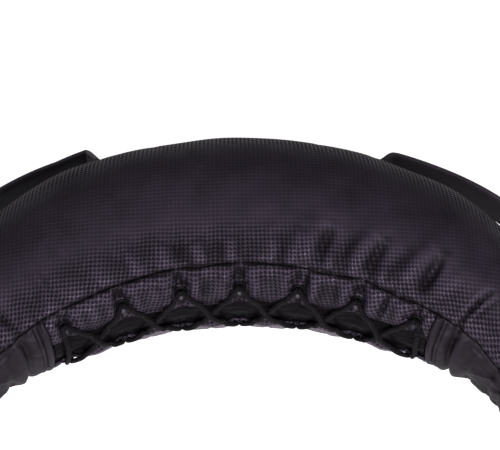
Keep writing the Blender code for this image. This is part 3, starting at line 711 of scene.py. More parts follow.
class Shader:
    """A node material with its Principled shader, and short calls to add nodes."""

    def __init__(self, name, roughness, specular, metallic=0.0, sheen=0.0):
        self.material = bpy.data.materials.new(name)
        self.material.use_nodes = True
        self.tree = self.material.node_tree
        self.shader = self.tree.nodes["Principled BSDF"]
        inputs = {"Roughness": roughness, "Specular IOR Level": specular, "Metallic": metallic}
        inputs |= {"Sheen Weight": sheen, "Sheen Roughness": 0.5}
        if not metallic:
            inputs["Specular Tint"] = tone(0.93, 0.82, 1.0)
        self.fill(self.shader, inputs)

    def fill(self, node, inputs):
        for key, value in inputs.items():
            if isinstance(value, bpy.types.NodeSocket):
                self.tree.links.new(value, node.inputs[key])
            else:
                node.inputs[key].default_value = value

    def node(self, kind, inputs=None, **settings):
        made = self.tree.nodes.new("ShaderNode" + kind)
        for key, value in settings.items():
            setattr(made, key, value)
        self.fill(made, inputs or {})
        return made.outputs

    def place(self):
        return self.node("TexCoord")["Object"]

    def uv(self):
        return self.node("UVMap")[0]

    def attribute(self, name):
        return self.node("Attribute", attribute_name=name)["Fac"]

    def maths(self, operation, *values):
        return self.node("Math", dict(enumerate(values)), operation=operation)[0]

    def noise(self, vector, scale, detail, roughness=0.5):
        inputs = {"Vector": vector, "Scale": scale, "Detail": detail, "Roughness": roughness}
        return self.node("TexNoise", inputs)["Fac"]

    def ranged(self, value, low, high, to_low, to_high):
        return self.node("MapRange", dict(enumerate((value, low, high, to_low, to_high))))[0]

    def mixed(self, share, first, second, blend_type="MIX"):
        return self.node("Mix", {0: share, 6: first, 7: second}, data_type="RGBA", blend_type=blend_type)[2]

    def bump(self, height, distance, strength, **normal):
        return self.node("Bump", {"Height": height, "Distance": distance, "Strength": strength, **normal})[0]

    def rub_and_painted_light(self, mottle, spread):
        """0 to 1: how pale a place is painted: wear in random patches, with painted highlight and wear on
        crests and painted shade in hollows.
        """
        patches = self.ranged(mottle, 0.3, 0.7, -spread, spread)
        return self.ranged(self.maths("ADD", self.attribute("crest"), patches), -0.9, 0.9, 0.0, 1.0)

    def finish(self, colour, normal, **inputs):
        self.fill(self.shader, {"Base Color": colour, "Normal": normal, **inputs})
        return self.material


def tone(red, green, blue):
    return (red, green, blue, 1.0)


def embossed_leather():
    """Black leather pressed with a fine square weave, worn smoother on its crests. Its colour holds painted
    light: highlight on the crests, shade in the hollows and in part of the weave's pits, and a pale painted
    reflection and highlight on the lower flap and under the eyelets.
    """
    s = Shader("embossed_leather", 0.44, 0.32)
    parts = s.node("SeparateXYZ", {0: s.uv()})
    u, v = (s.maths("MULTIPLY", part, TAU / WEAVE_PITCH) for part in parts[:2])
    cosines = s.maths("ADD", s.maths("COSINE", u), s.maths("COSINE", v))
    slanted = s.maths("MULTIPLY", s.maths("COSINE", s.maths("ADD", u, v)), 0.45)
    pits = s.ranged(s.maths("ADD", cosines, slanted), -1.2, 1.05, 1.0, 0.0)
    rub_and_painted_sheen = s.attribute("rub_and_painted_sheen")
    depth = s.ranged(rub_and_painted_sheen, -1, 1, 1.66, 0.34)
    weave = s.maths("MULTIPLY_ADD", s.maths("SUBTRACT", pits, 0.6), depth, 0.6)
    # worn holds random wear patches and the folds' painted light: painted highlight on crests, painted shade
    # in valleys
    worn = s.rub_and_painted_light(s.noise(s.place(), 34, 4, 0.6), 0.35)
    ground = s.mixed(worn, tone(0.0046, 0.0036, 0.0053), tone(0.0470, 0.0372, 0.0550))
    # The weave's pits are darkened: partly the weave's own pattern, partly painted shade in the pits
    pit_pattern_and_shade = s.mixed(weave, tone(0.16, 0.16, 0.18), tone(1.50, 1.50, 1.50))
    # At a value of 2 the leather is painted a flat pale grey: a painted reflection of the floor on the lower
    # flap, and a painted highlight on the tongues under the eyelets
    flat = s.ranged(rub_and_painted_sheen, 1, 2, 0, 1)
    colour = s.mixed(flat, s.mixed(1.0, ground, pit_pattern_and_shade, "MULTIPLY"), tone(0.16, 0.145, 0.165))
    roughness = s.maths("ADD", s.ranged(weave, 0, 1, 0.85, 0.36), s.ranged(worn, 0, 1, 0.06, -0.07))
    roughness = s.maths("SUBTRACT", roughness, s.maths("MULTIPLY", flat, 0.16))
    grained = s.bump(s.noise(s.place(), 2600, 2), 0.00004, 0.6)
    return s.finish(colour, s.bump(weave, 0.0006, 1.0, Normal=grained), Roughness=roughness)


def smooth_leather(name, dark, pale, grain_scale=900, roughness=0.48):
    """Black leather with a fine natural grain and a few faint creases, paler in random worn patches; where a
    piece carries its folds' painted light, paler on crests and darker in hollows.
    """
    s = Shader(name, roughness, 0.26)
    grain = {"Vector": s.place(), "Scale": grain_scale}
    cells = s.node("TexVoronoi", grain, feature="DISTANCE_TO_EDGE")[0]
    mottle = s.noise(s.place(), 26, 4, 0.6)
    colour = s.mixed(s.rub_and_painted_light(mottle, 0.4), tone(*dark), tone(*pale))
    grained = s.bump(s.ranged(cells, 0, 0.35, 0, 1), 0.00007, 0.7)
    normal = s.bump(s.noise(s.place(), 120, 5, 0.65), 0.0004, 0.35, Normal=grained)
    return s.finish(colour, normal, Roughness=s.ranged(mottle, 0.3, 0.7, roughness - 0.04, roughness + 0.05))


def facing_cloth():
    """The smooth black strips behind the lacing, with faint lengthwise streaks and a thin line of painted
    shade along their fold under the front strip's edge.
    """
    s = Shader("facing_cloth", 0.55, 0.10)
    stretched = s.node("Mapping", {"Vector": s.uv(), "Scale": (60, 900, 1)})[0]
    streaks = s.noise(stretched, 1, 3)
    # off and the next line paint a thin line of shade 2 mm from the lacing's middle, under the front strip's
    # edge
    off = s.maths("ABSOLUTE", s.maths("SUBTRACT", s.node("SeparateXYZ", {0: s.uv()})[1], 0.0020))
    painted_crease_shade = s.ranged(off, 0.0006, 0.0018, 0.15, 1.0)
    colour = s.mixed(streaks, tone(0.0013, 0.0011, 0.0014), tone(0.0054, 0.0045, 0.0058))
    colour = s.mixed(1.0, colour, painted_crease_shade, "MULTIPLY")
    return s.finish(colour, s.bump(streaks, 0.0002, 0.5), Roughness=s.ranged(streaks, 0.3, 0.7, 0.46, 0.6))


def braided_cord():
    """Matt black cord with paler flecks where its strands cross, and painted shade in the grooves between
    its strands.
    """
    s = Shader("braided_cord", 0.78, 0.14, sheen=0.02)
    parts = s.node("SeparateXYZ", {0: s.uv()})
    run = s.maths("MULTIPLY", parts[0], TAU / BRAID_PITCH)
    lap = s.maths("MULTIPLY", parts[1], TAU * BRAID_STRANDS)
    winds = (s.maths(both, run, lap) for both in ("ADD", "SUBTRACT"))
    strands = s.maths("MAXIMUM", *(s.maths("COSINE", wind) for wind in winds))
    flecks = s.ranged(s.noise(s.place(), 1100, 1), 0.62, 0.72, 0, 1)
    raised = s.ranged(strands, -0.4, 1, 0, 1)
    # The grooves between the strands are painted near black: painted shade
    base = s.mixed(raised, tone(0.0012, 0.0010, 0.0013), tone(0.0125, 0.0110, 0.0130))
    colour = s.mixed(s.maths("MULTIPLY", flecks, 0.8), base, tone(0.075, 0.068, 0.078))
    return s.finish(colour, s.bump(strands, 0.00035, 0.8))


def speckled(name, roughness, specular, scale, detail, dark, pale, depth, **settings):
    """A plain material, mottled between two tones, with its shader and the mottling."""
    s = Shader(name, roughness, specular, **settings)
    spots = s.noise(s.place(), scale, detail)
    colour = s.mixed(spots, tone(*dark), tone(*pale))
    return s, spots, s.finish(colour, s.bump(spots, depth, 0.4))


def dark_nickel():
    tones = (0.010, 0.010, 0.012), (0.030, 0.029, 0.034)
    s, spots, material = speckled("dark_nickel", 0.55, 0.5, 700, 3, *tones, 0.00003, metallic=1.0)
    s.fill(s.shader, {"Roughness": s.ranged(spots, 0.3, 0.7, 0.48, 0.62)})
    return material


def sewing_thread():
    s = Shader("sewing_thread", 0.6, 0.35, sheen=0.2)
    twist = s.node("TexWave", {"Vector": s.place(), "Scale": 900, "Distortion": 1.0})["Fac"]
    # The twist's grooves are painted darker than its crowns: painted shade
    colour = s.mixed(twist, tone(0.012, 0.011, 0.013), tone(0.045, 0.041, 0.047))
    return s.finish(colour, s.bump(twist, 0.0001, 0.6))


def filling_cloth():
    s = Shader("filling_cloth", 0.9, 0.2, sheen=0.2)
    parts = s.node("SeparateXYZ", {0: s.uv()})
    threads = [s.maths("SINE", s.maths("MULTIPLY", part, TAU / CLOTH_THREAD_PITCH)) for part in parts[:2]]
    colour = s.mixed(s.noise(s.place(), 40, 3), tone(0.30, 0.28, 0.23), tone(0.40, 0.38, 0.32))
    return s.finish(colour, s.bump(s.maths("MULTIPLY", *threads), 0.0003, 0.6))


CARBON = embossed_leather()
PLAIN = smooth_leather("plain_leather", (0.0055, 0.0044, 0.0060), (0.0145, 0.0120, 0.0158))
STRAP = smooth_leather("strap_leather", (0.0330, 0.0280, 0.0345), (0.0800, 0.0680, 0.0830), 1100, 0.44)
# A painted highlight: the pale band across each strap's bend
BEND_HIGHLIGHT = smooth_leather("painted_bend_highlight", (0.16, 0.15, 0.17), (0.26, 0.245, 0.27), 1500, 0.55)
FACING = facing_cloth()
CORD = braided_cord()
METAL = dark_nickel()
THREAD = sewing_thread()
CLOTH = filling_cloth()
CORE = speckled("core_plastic", 0.6, 0.4, 900, 2, (0.03, 0.03, 0.03), (0.06, 0.06, 0.06), 0.0001)[2]


# The stuffed body

BODY_PITCH = 2.1 * MM
BODY_ROUND_PITCH = 2.3 * MM
FLAP_PITCH = 1.3 * MM
EDGE_BEAD = 0.25 * MM
DRILL_BOTTOM, DRILL_TOP, DRILL_CORE = -9 * MM, 6 * MM, 0.2 * MM
FACING_PITCH, FACING_ROUND_PITCH = 2.0 * MM, 0.9 * MM
FACING_EDGE = 0.6 * MM
GUSSET_FINE_RUN, GUSSET_FINE_PITCH = 17 * MM, 0.4 * MM
GUSSET_PITCH, GUSSET_ROUND_PITCH = 1.7 * MM, 1.6 * MM
GUSSET_MEAN_RADIUS = 0.070
FRONT_CROWN, BACK_CROWN = 1.35 * MM, 0.85 * MM
WASHER_RADIUS = 5.0 * MM
WASHER_THICKNESS = 0.5 * MM
WASHER_GAP = 0.5 * MM
RING_LIP = 0.5 * MM
RING_FLARE = 0.1 * MM
POUCH_CROWN = 0.016
POUCH_INSET = 0.8 * MM


def main_panel():
    around = TAU - 2 * SEAM_TURN
    share = edge_spaced(around * BAG_RADIUS, BODY_ROUND_PITCH) / (around * BAG_RADIUS)
    along, share = grid(spaced(-NECK_REACH, NECK_REACH, BODY_PITCH), share)
    seam = seam_turn(along)
    turn = seam + (TAU - 2 * seam) * share
    distance = np.minimum(share, 1 - share) * around * radius_at(along)
    piece = leather_sheet("body_panel", along, turn, distance)
    dressed(piece, "carbon_leather", "main_panel", fill=0.85)


def flap_edge(along, side):
    """Reach of a flap's free edge. The back one is drawn back at the eyelets, and the front one sways."""
    if side < 0:
        drawn = BACK_EDGE_DRAW * np.cos(TAU * along / STATION_PITCH)
        return BACK_EDGE_REACH + drawn * (1 - smooth(np.abs(along), LAST_STATION + 0.006, ARC_REACH))
    places, reaches = np.array(FRONT_EDGE).T * MM
    return np.interp(along, places, reaches) + 0.4 * MM * np.sin(along / 0.011)


def placed(along, turn):
    """A frame on the leather at one place, its Z pointing out and its X along the bag."""
    probe = 0.001
    step = probe / float(radius_at(along))
    ahead = base_point(along + probe, turn, 0) - base_point(along - probe, turn, 0)
    round_it = base_point(along, turn + step, 0) - base_point(along, turn - step, 0)
    sideways = Vector(ahead).normalized()
    normal = sideways.cross(Vector(round_it)).normalized()
    axes = Matrix((sideways, normal.cross(sideways), normal)).transposed().to_4x4()
    return Matrix.Translation(Vector(skin(along, turn, 0.0))) @ axes


def eyelet_place(index, side):
    return placed(station(index), side * float(turn_of(station(index), EYELET_REACH)))


def lathe(profile, sides):
    """Points and faces of a closed (radius, height) profile turned about Z."""
    angles = np.arange(sides) * TAU / sides
    radius, height = np.array(profile, float).T
    rounds = (np.outer(radius, np.cos(angles)), np.outer(radius, np.sin(angles)))
    return np.stack([*rounds, np.outer(height, np.ones(sides))], -1), loop_faces(len(profile), sides)


def moved(points, matrix):
    m = np.array(matrix, float)
    return points @ m[:3, :3].T + m[:3, 3]


def eyelet_drills(name, side):
    """One mesh of seven drills, each a ring, for the holes in a flap."""
    hole = EYELET_BARREL + FIT_GAP
    profile = [(DRILL_CORE, DRILL_BOTTOM), (hole, DRILL_BOTTOM), (hole, DRILL_TOP), (DRILL_CORE, DRILL_TOP)]
    points, faces = lathe(profile, 20)
    points = points.reshape(-1, 3)
    drills = [moved(points, eyelet_place(index, side)) for index in range(STATIONS)]
    steps = [faces + len(points) * index for index in range(STATIONS)]
    return add_mesh(name, np.concatenate(drills), np.concatenate(steps), None, [CARBON])


def flap(name, side, node):
    depth = SEAM_TURN * BAG_RADIUS - FLAP_EDGE_REACH
    along, share = grid(spaced(-ARC_REACH, ARC_REACH, FLAP_PITCH), edge_spaced(depth, FLAP_PITCH) / depth)
    root = seam_turn(along) - turn_of(along, SEAM_GAP)
    edge = turn_of(along, flap_edge(along, side))
    turn = side * (root + (edge - root) * share)
    distance = np.minimum(share, 1 - share) * (root - edge) * radius_at(along)
    piece = leather_sheet(name, along, turn, distance, EDGE_BEAD)
    cut = piece.modifiers.new("holes", "BOOLEAN")
    cut.object = eyelet_drills(name + "_drill", side)
    cut.operation = "DIFFERENCE"
    cut.solver = "EXACT"
    graph = bpy.context.evaluated_depsgraph_get()
    drilled = bpy.data.meshes.new_from_object(piece.evaluated_get(graph))
    bpy.data.objects.remove(cut.object)
    piece.modifiers.clear()
    piece.data = drilled
    dressed(piece, "carbon_leather", node)


def facing(name, side, edge_reach, depth, node):
    """A smooth strip under a flap, with soft lengthwise folds where it shows between the flaps."""
    end = ARC_REACH - FACING_END_GAP
    root = side * FACING_ROOT_REACH
    width = abs(root - edge_reach)
    along, share = grid(spaced(-end, end, FACING_PITCH), edge_spaced(width, FACING_ROUND_PITCH) / width)
    reach = root + (edge_reach - root) * share
    turn = turn_of(along, reach)
    open_part = 1 - smooth(np.abs(reach), 0.010, 0.016)
    wander = MM * waves(along, ((1.6, 0.031, side, 0), (0.9, 0.0133, 0, 0)))
    folds = 0.55 * np.cos((reach + wander) / (0.95 * MM)) + 0.35 * np.cos((reach - wander) / (1.6 * MM) + 2)
    lift = (0.35 + 0.5 * folds) * open_part * (0.75 + 0.25 * np.cos(TAU * along / STATION_PITCH + 1))
    if side > 0:
        lift = np.maximum(lift, -0.1)
        swell = 1.2 * smooth(reach, 8 * MM, 2 * MM) - 0.7 * bump(reach, 10 * MM, 1.8 * MM)
    else:
        lift = np.minimum(lift, 0.1)
        swell = 1.5 * bump(reach, -7 * MM, 4.5 * MM) - 0.9 * smooth(reach, -3 * MM, 1 * MM)
    lens = 0.5 + 0.5 * np.cos(TAU * along / STATION_PITCH)
    middle = -SKIN - FIT_GAP - FACING_THICKNESS / 2 - depth * np.minimum(2 * share, 1)
    middle = middle + (lift + lens * swell) * MM + placket_relief(along, reach)
    edges = (rounded(part * width, FACING_EDGE) for part in (share, 1 - share))
    half = FACING_THICKNESS / 2 * math.prod(edges)
    drift = drift_at(along, turn)
    faces = [base_point(along, turn, middle + sign * half) + drift for sign in (1, -1)]
    dressed(plate(name, *faces, strip_uvs(along, turn), [FACING]), "facing_leather", node)


def gusset_rib(distance):
    """The gusset's rolled border and its two seams, by distance from the border's edge."""
    ribs = ((1.5, 4.2, 3.4), (-1.1, 8.6, 0.7), (0.5, 11.2, 1.4), (-0.7, 13.4, 0.5))
    return sum(height * bump(distance / MM, middle, width) for height, middle, width in ribs) * MM


def gusset(name, side, node):
    start = ARC_REACH + SEAM_GAP
    fine = np.arange(0, GUSSET_FINE_RUN, GUSSET_FINE_PITCH)
    run = np.concatenate([fine, spaced(fine[-1], NECK_REACH - start, GUSSET_PITCH)[1:]])
    width = 2 * SEAM_TURN * GUSSET_MEAN_RADIUS
    run, share = grid(run, edge_spaced(width, GUSSET_ROUND_PITCH) / width)
    along = side * (start + run)
    seam = seam_turn(along) - turn_of(along, SEAM_GAP)
    turn = seam * (2 * share - 1)
    across = np.minimum(share, 1 - share) * 2 * seam * radius_at(along)
    rib = gusset_rib(run) * smooth(across, 0.3 * MM, 3 * MM)
    faces = leather_faces(along, turn, np.minimum(across, run + 0.02 * MM), rib)
    # The rolled border is painted paler, a painted highlight, and the seam grooves darker, painted shade,
    # besides the folds' painted light and wear
    crest = np.clip(crest_of(along, turn) + rib / MM, -1, 1)
    dressed(plate(name, *faces, strip_uvs(along, turn), [PLAIN], crest=crest), "smooth_leather", node)


def eyelet_ring(name, index, side, node):
    """A rolled metal ring, its barrel through the leather and its washer behind."""
    crown, washer = FRONT_CROWN if side > 0 else BACK_CROWN, SKIN + WASHER_GAP
    middle, half = (EYELET_BORE + EYELET_RIM) / 2, (EYELET_RIM - EYELET_BORE) / 2
    arc = [(middle + half * math.cos(a), FIT_GAP + crown * math.sin(a)) for a in np.linspace(0, math.pi, 11)]
    profile = [*arc, (EYELET_BORE - RING_FLARE, -RING_LIP), (EYELET_BORE, -washer - WASHER_THICKNESS)]
    profile += [(WASHER_RADIUS, -washer - WASHER_THICKNESS), (WASHER_RADIUS, -washer)]
    profile += [(EYELET_BARREL, -washer), (EYELET_BARREL, 0.0)]
    points, faces = lathe(profile, 36)
    piece = add_mesh(name, moved(points, eyelet_place(index, side)), faces, None, [METAL])
    dressed(piece, "eyelet_metal", node)


def pouch(name, start, end, laced):
    """One pouch of the filling, its ends crowned, drawn in flat under the lacing."""
    share = np.linspace(0, 1, 33)
    run, turn = grid(start + (end - start) * (0.5 - 0.5 * np.cos(math.pi * share)), ring_angles(56))
    crown = rounded(np.minimum(run - start, end - run), POUCH_CROWN, 0)
    radius = radius_at(run)
    out = -SKIN - FILLER_GAP - POUCH_INSET
    point = base_point(run, turn, out - (radius + out) * 0.45 * (1 - crown))
    point = point + (skin(run, turn, 0.0) - base_point(run, turn, 0.0)) * crown[..., None]
    room = radius - LACE_DEEP_BAR - FILLER_ROOM if laced else radius
    inward = inward_at(run)
    beyond = ((point - centre_at(run)) * inward).sum(-1) - room
    point = point - inward * np.maximum(beyond, 0)[..., None]
    shape = capped(point, point[[0, -1]].mean(1), strip_uvs(run, turn))
    piece = add_mesh(name, *shape, [CLOTH], sharp=False)
    dressed(piece, "filling", name.replace("_pouch", "_filler"), fill=0.9)


def body():
    main_panel()
    flap("front_lacing_flap", 1, "front_flap")
    flap("back_lacing_flap", -1, "back_flap")
    facing("front_facing_strip", 1, FRONT_FACING_REACH, 0.0, "front_facing")
    facing("back_facing_strip", -1, BACK_FACING_REACH, FACING_THICKNESS + FIT_GAP, "back_facing")
    for prefix, side in SIDES:
        gusset(prefix + "_gusset_leather", side, prefix + "_gusset")
    for prefix, side in (("front", 1), ("back", -1)):
        for index in range(STATIONS):
            eyelet_ring(f"{prefix}_ring_{index + 1}", index, side, f"{prefix}_eyelet_{index + 1}")
    names = ("left_horn_pouch", "left_pouch", "middle_pouch", "right_pouch", "right_horn_pouch")
    middle_end, half_gap = STATION_PITCH * FILLER_PITCHES, FILLER_GAP / 2
    ends = [FIT_GAP - half_gap - NECK_REACH, -ARC_REACH, -middle_end, middle_end, ARC_REACH]
    ends.append(NECK_REACH - FIT_GAP + half_gap)
    for name, start, end in zip(names, ends, ends[1:]):
        pouch(name, start + half_gap, end - half_gap, "horn" not in name)


# The lace

SQUEEZED = 0.66
LACE_HUG = 2.2 * MM
LACE_RISE = 0.65 * MM
LACE_CROSSING_OVER, LACE_CROSSING_UNDER = 4.2 * MM, 0.1 * MM
LACE_BAR_OUT = 2.3 * MM
KNOT_ENTRY = 3.4 * MM
KNOT_STRAND = 1.75 * MM
CORD_PITCH = 0.62 * MM
CORD_SIDES = 16


def lace_pass(index, side, shift, inwards):
    """The lace through one eyelet: points with radii, from outside to inside or back."""
    place = eyelet_place(index, side)
    over = LACE_OVER_EYELET if side > 0 else BACK_LACE_OVER
    route = []
    steps = ((over, 1.0, 0.85), (0.5 * MM, 0.95, 0.68), (-LACE_UNDER_EYELET, 0.95, SQUEEZED))
    for height, lean, radius in steps:
        spot = Vector((shift * LACE_SIDE_SHIFT * lean, 0, height))
        route.append((np.array(place @ spot), radius * LACE_RADIUS))
    return route if inwards else route[::-1]


def lace_over(along, reach, extra):
    """A point of the lace lying on the flaps, or spanning the gap between them, with its radius."""
    support = float(placket_relief(np.array(along), np.array(reach)))
    turn = float(turn_of(along, reach))
    return base_point(along, turn, support + extra) + drift_at(along, turn), LACE_RADIUS


def lace_diagonal(index, side, over):
    """The lace outside the flaps, from station index to the next, from one flap to the other."""
    crossing = LACE_CROSSING_OVER if over else LACE_CROSSING_UNDER
    start = station(index) + LACE_SIDE_SHIFT * 1.2
    end = station(index + 1) - LACE_SIDE_SHIFT * 1.2
    route = []
    for share in np.linspace(0, 1, 17)[2:-2]:
        along = start + (end - start) * (share + 0.035 * math.sin(TAU * share))
        across = side * (1 - 2 * share)
        near = float(bump(share, 0.5, 0.13))
        hug = LACE_HUG + LACE_RISE * across * (1.3 if across > 0 else 1)
        route.append(lace_over(along, EYELET_REACH * across, hug * (1 - near) + crossing * near))
    return route


def lace_strand(side, deep):
    """One strand's zigzag through all stations, by deep bars inside the bag or by shallow ones."""
    route = []
    for index in range(STATIONS):
        route += lace_pass(index, side, -1, True)
        if deep:
            route.append((base_point(station(index), 0.0, -LACE_DEEP_BAR), SQUEEZED * LACE_RADIUS))
        route += lace_pass(index, -side, 1, False)
        if index < STATIONS - 1:
            route += lace_diagonal(index, -side, deep)
    return route


def lace_route():
    """From the knot back to the first station by one strand, and to the knot again by the other."""
    knot_along = station(STATIONS - 1) + KNOT_SHIFT
    in_knot = [
        [(base_point(knot_along, turn_of(knot_along, KNOT_REACH + aside), KNOT_OUT), 0.9 * LACE_RADIUS)]
        for aside in (KNOT_ENTRY, -KNOT_ENTRY)
    ]
    start = station(0) - 2 * LACE_SIDE_SHIFT
    down = [lace_over(start, reach, LACE_BAR_OUT) for reach in (0.022, 0.010, -0.004, -0.015, -0.023)]
    up = [lace_over(knot_along - KNOT_SHIFT / 2, -0.020, LACE_BAR_OUT)]
    up += [lace_over(knot_along, reach, LACE_HUG) for reach in (-0.011, 0.002, 0.012)]
    back, forth = lace_strand(-1, True)[::-1] + down[::-1], lace_strand(1, False) + up
    return in_knot[0] + back + forth + in_knot[1]


def smooth_path(route, pitch):
    """A Catmull-Rom curve through the route, resampled evenly, with its radii."""
    points = np.array([np.append(place, radius) for place, radius in route])
    gaps = np.sqrt(np.maximum(np.linalg.norm(np.diff(points[:, :3], axis=0), axis=1), 1e-5))
    knots = np.concatenate([[0], np.cumsum(gaps)])
    slopes = np.gradient(points, knots, axis=0)
    t = np.linspace(0, 1, 12, endpoint=False)[:, None]
    fine = [
        hermite(t, points[i], points[i + 1], slopes[i] * span, slopes[i + 1] * span)
        for i, span in enumerate(np.diff(knots))
    ]
    fine = np.concatenate(fine + [points[-1:]])
    lengths = run_lengths(fine[:, :3])
    even = np.arange(0, lengths[-1], pitch)
    return sampled(even, lengths, fine), even


def sweep_frames(path):
    """Tangents of a path, and normals carried along it without twist."""
    tangents = unit(np.gradient(path, axis=0))
    normals = np.empty_like(path)
    carried = np.cross(tangents[0], (0, 0, 1.0))
    for i, tangent in enumerate(tangents):
        carried = unit(carried - tangent * (carried @ tangent))
        normals[i] = carried
    return tangents, normals


def cord_tube(name, route, node):
    """A braided tube along the route: its strands are raised in the mesh."""
    path, run = smooth_path(route, CORD_PITCH)
    places = path[:, :3]
    tangents, normals = sweep_frames(places)
    sideways = np.cross(tangents, normals)
    angles = ring_angles(CORD_SIDES)
    wind = run[:, None] * TAU / BRAID_PITCH
    braid = np.maximum(np.cos(wind + BRAID_STRANDS * angles), np.cos(wind - BRAID_STRANDS * angles))
    radius = path[:, 3:] * (0.955 + 0.045 * braid)
    rings = places[:, None] + normals[:, None] * (radius * np.cos(angles))[..., None]
    rings = rings + sideways[:, None] * (radius * np.sin(angles))[..., None]
    side = np.arange(CORD_SIDES) * 2
    lap = np.minimum(side, 2 * CORD_SIDES - side) / CORD_SIDES
    shape = capped(rings, places[[0, -1]], pairs_of(run, lap))
    dressed(add_mesh(name, *shape, [CORD], sharp=False), "braided_cord", node)


def lace():
    cord_tube("lacing_cord", lace_route(), "lace")
    along = station(STATIONS - 1) + KNOT_SHIFT
    place = placed(along, float(turn_of(along, KNOT_REACH)))
    route = []
    for a in np.linspace(0.3, TAU * 2 - 0.3, 40):
        ring = (1 + 0.45 * math.cos(1.5 * a)) / 1.2 * MM
        height = KNOT_OUT + 1.3 * MM * math.sin(1.5 * a)
        spot = Vector((3.0 * ring * math.cos(a), 2.2 * ring * math.sin(a), height))
        route.append((np.array(place @ spot), KNOT_STRAND))
    cord_tube("lacing_knot", route, "lace_knot")


# Stitches

STITCH_LENGTH = 3.0 * MM
STITCH_PITCH = 3.9 * MM
STITCH_RADIUS = 0.42 * MM
STITCH_SIDES = 6


def capsule():
    """Points and faces of one stitch, lying along X."""
    half, shoulder = STITCH_LENGTH / 2, STITCH_LENGTH / 2 - STITCH_RADIUS
    x, widths = np.array([(-half, 0.35), (-shoulder, 0.9), (0, 1.0), (shoulder, 0.9), (half, 0.35)]).T
    angles = ring_angles(STITCH_SIDES)
    round_it = STITCH_RADIUS * widths[:, None]
    rings = np.stack(arrays(x[:, None], round_it * np.cos(angles), round_it * np.sin(angles) * 0.8), -1)
    faces = tube_faces(len(x), STITCH_SIDES).tolist()
    last = list(range(rings[..., 0].size))
    return rings.reshape(-1, 3), faces + [last[:STITCH_SIDES][::-1], last[-STITCH_SIDES:]]


def stitch_run(path, normals):
    """Stitches laid end to end on a path: points and faces to add to a piece."""
    lengths = run_lengths(path)
    shape, faces = capsule()
    points, all_faces = [], []
    for place in np.arange(STITCH_PITCH / 2, lengths[-1], STITCH_PITCH):
        tangent = unit(sampled(place + 1 * MM, lengths, path) - sampled(place - 1 * MM, lengths, path))
        normal = sampled(place, lengths, normals)
        normal = unit(normal - tangent * (normal @ tangent))
        axes = np.stack([tangent, np.cross(normal, tangent), normal])
        all_faces += [[v + len(shape) * len(points) for v in face] for face in faces]
        points.append(shape @ axes + sampled(place, lengths, path))
    return np.concatenate(points), all_faces


def with_stitches(name, points, faces, uvs, materials, runs, picks=None):
    """A mesh and the stitches sewn into it, as one piece. The thread is the last material."""
    points = np.asarray(points).reshape(-1, 3)
    faces = [list(map(int, face)) for face in faces]
    picks = [0] * len(faces) if picks is None else list(picks)
    for path, normals in runs:
        more, more_faces = stitch_run(path, normals)
        faces += [[v + len(points) for v in face] for face in more_faces]
        picks += [len(materials)] * len(more_faces)
        points = np.concatenate([points, more])
    uvs = np.asarray(uvs).reshape(-1, 2)
    uvs = np.concatenate([uvs, np.zeros((len(points) - len(uvs), 2))])
    return add_mesh(name, points, faces, uvs, [*materials, THREAD], picks)


# Strap handles

# The shares of the way from a strap's sewn inner end to its free part between which it rises
RISES = {-1: (0.05, 0.60), 1: (0.45, 1.0)}
# A pale band of painted highlight crosses each strap where it leaves the bag, on its bend
STRAP_HIGHLIGHT_PLACE = 0.1035
STRAP_HIGHLIGHT_WIDTH = 0.0048
# Where each half's blend with the swinging strap would start and end: frames are found there and not used
INNER_BLEND = (0.101, 0.140)
OUTER_BLEND = (0.306, 0.268)
STRAP_CORNER = 1.5 * MM
STRAP_STITCH_INSET = 4.2 * MM
BOX_STITCH_INSET = 5 * MM
PATCH_CORNER = 5 * MM
PATCH_STITCH_INSET = 2 * MM
PATCH_PITCH = 2 * MM


def strap_outs(side):
    """The strap's middle plane from its inner end to its outer one: (along, out) pairs."""
    tab = FIT_GAP + PATCH_THICKNESS + FIT_GAP + STRAP_THICKNESS / 2 - TAB_SINK
    inner_end, outer_end = INNER_TAB_START + TAB_LENGTH, OUTER_TAB_START + TAB_LENGTH
    free = np.linspace(STRAP_START, STRAP_END, 80)
    share = (free - STRAP_START) / (STRAP_END - STRAP_START)
    arch = np.sin(math.pi * share)
    if side < 0:
        lift = np.maximum(arch**0.5, 0.55 * (1 - smooth(share, 0, 0.5)))
    else:
        lift = 0.45 * arch**0.5 + 0.55 * arch**2
    bowed = STRAP_STANDOFF + (STRAP_BOW - STRAP_STANDOFF) * lift + STRAP_THICKNESS / 2
    rise = np.linspace(0, 1, 24)[1:-1]

    def raised(foot, top, out, *share_range):
        return np.stack([foot + (top - foot) * rise, tab + (out - tab) * smooth(rise, *share_range)], -1)

    inner = raised(inner_end, STRAP_START, bowed[0], *RISES[side])
    outer = raised(OUTER_TAB_START, STRAP_END, bowed[-1], 0, 0.92)[::-1]
    tabs = [(INNER_TAB_START, tab), (inner_end, tab)], [(OUTER_TAB_START, tab), (outer_end, tab)]
    return np.concatenate([tabs[0], inner, np.stack([free, bowed], -1), outer, tabs[1]])


def strap_section():
    """The strap's outline: (height, out) from the upper edge over the outer face and back."""
    half_width, half_thickness = STRAP_WIDTH / 2, STRAP_THICKNESS / 2
    flat = half_width - STRAP_CORNER
    a = np.linspace(math.pi / 2, 0, 5)
    arc = np.stack([flat + STRAP_CORNER * np.sin(a), half_thickness - STRAP_CORNER * (1 - np.cos(a))], -1)
    height = np.linspace(flat, -flat, 21)[1:-1]
    sunk = 0.45 * MM * bump(np.abs(height), half_width - STRAP_STITCH_INSET, 1.1 * MM)
    out = half_thickness - sunk + 0.25 * MM * np.cos(height / half_width * math.pi / 2)
    outer = np.concatenate([arc, np.stack([height, out], -1), arc[::-1] * (-1, 1)])
    return np.concatenate([outer, -outer])


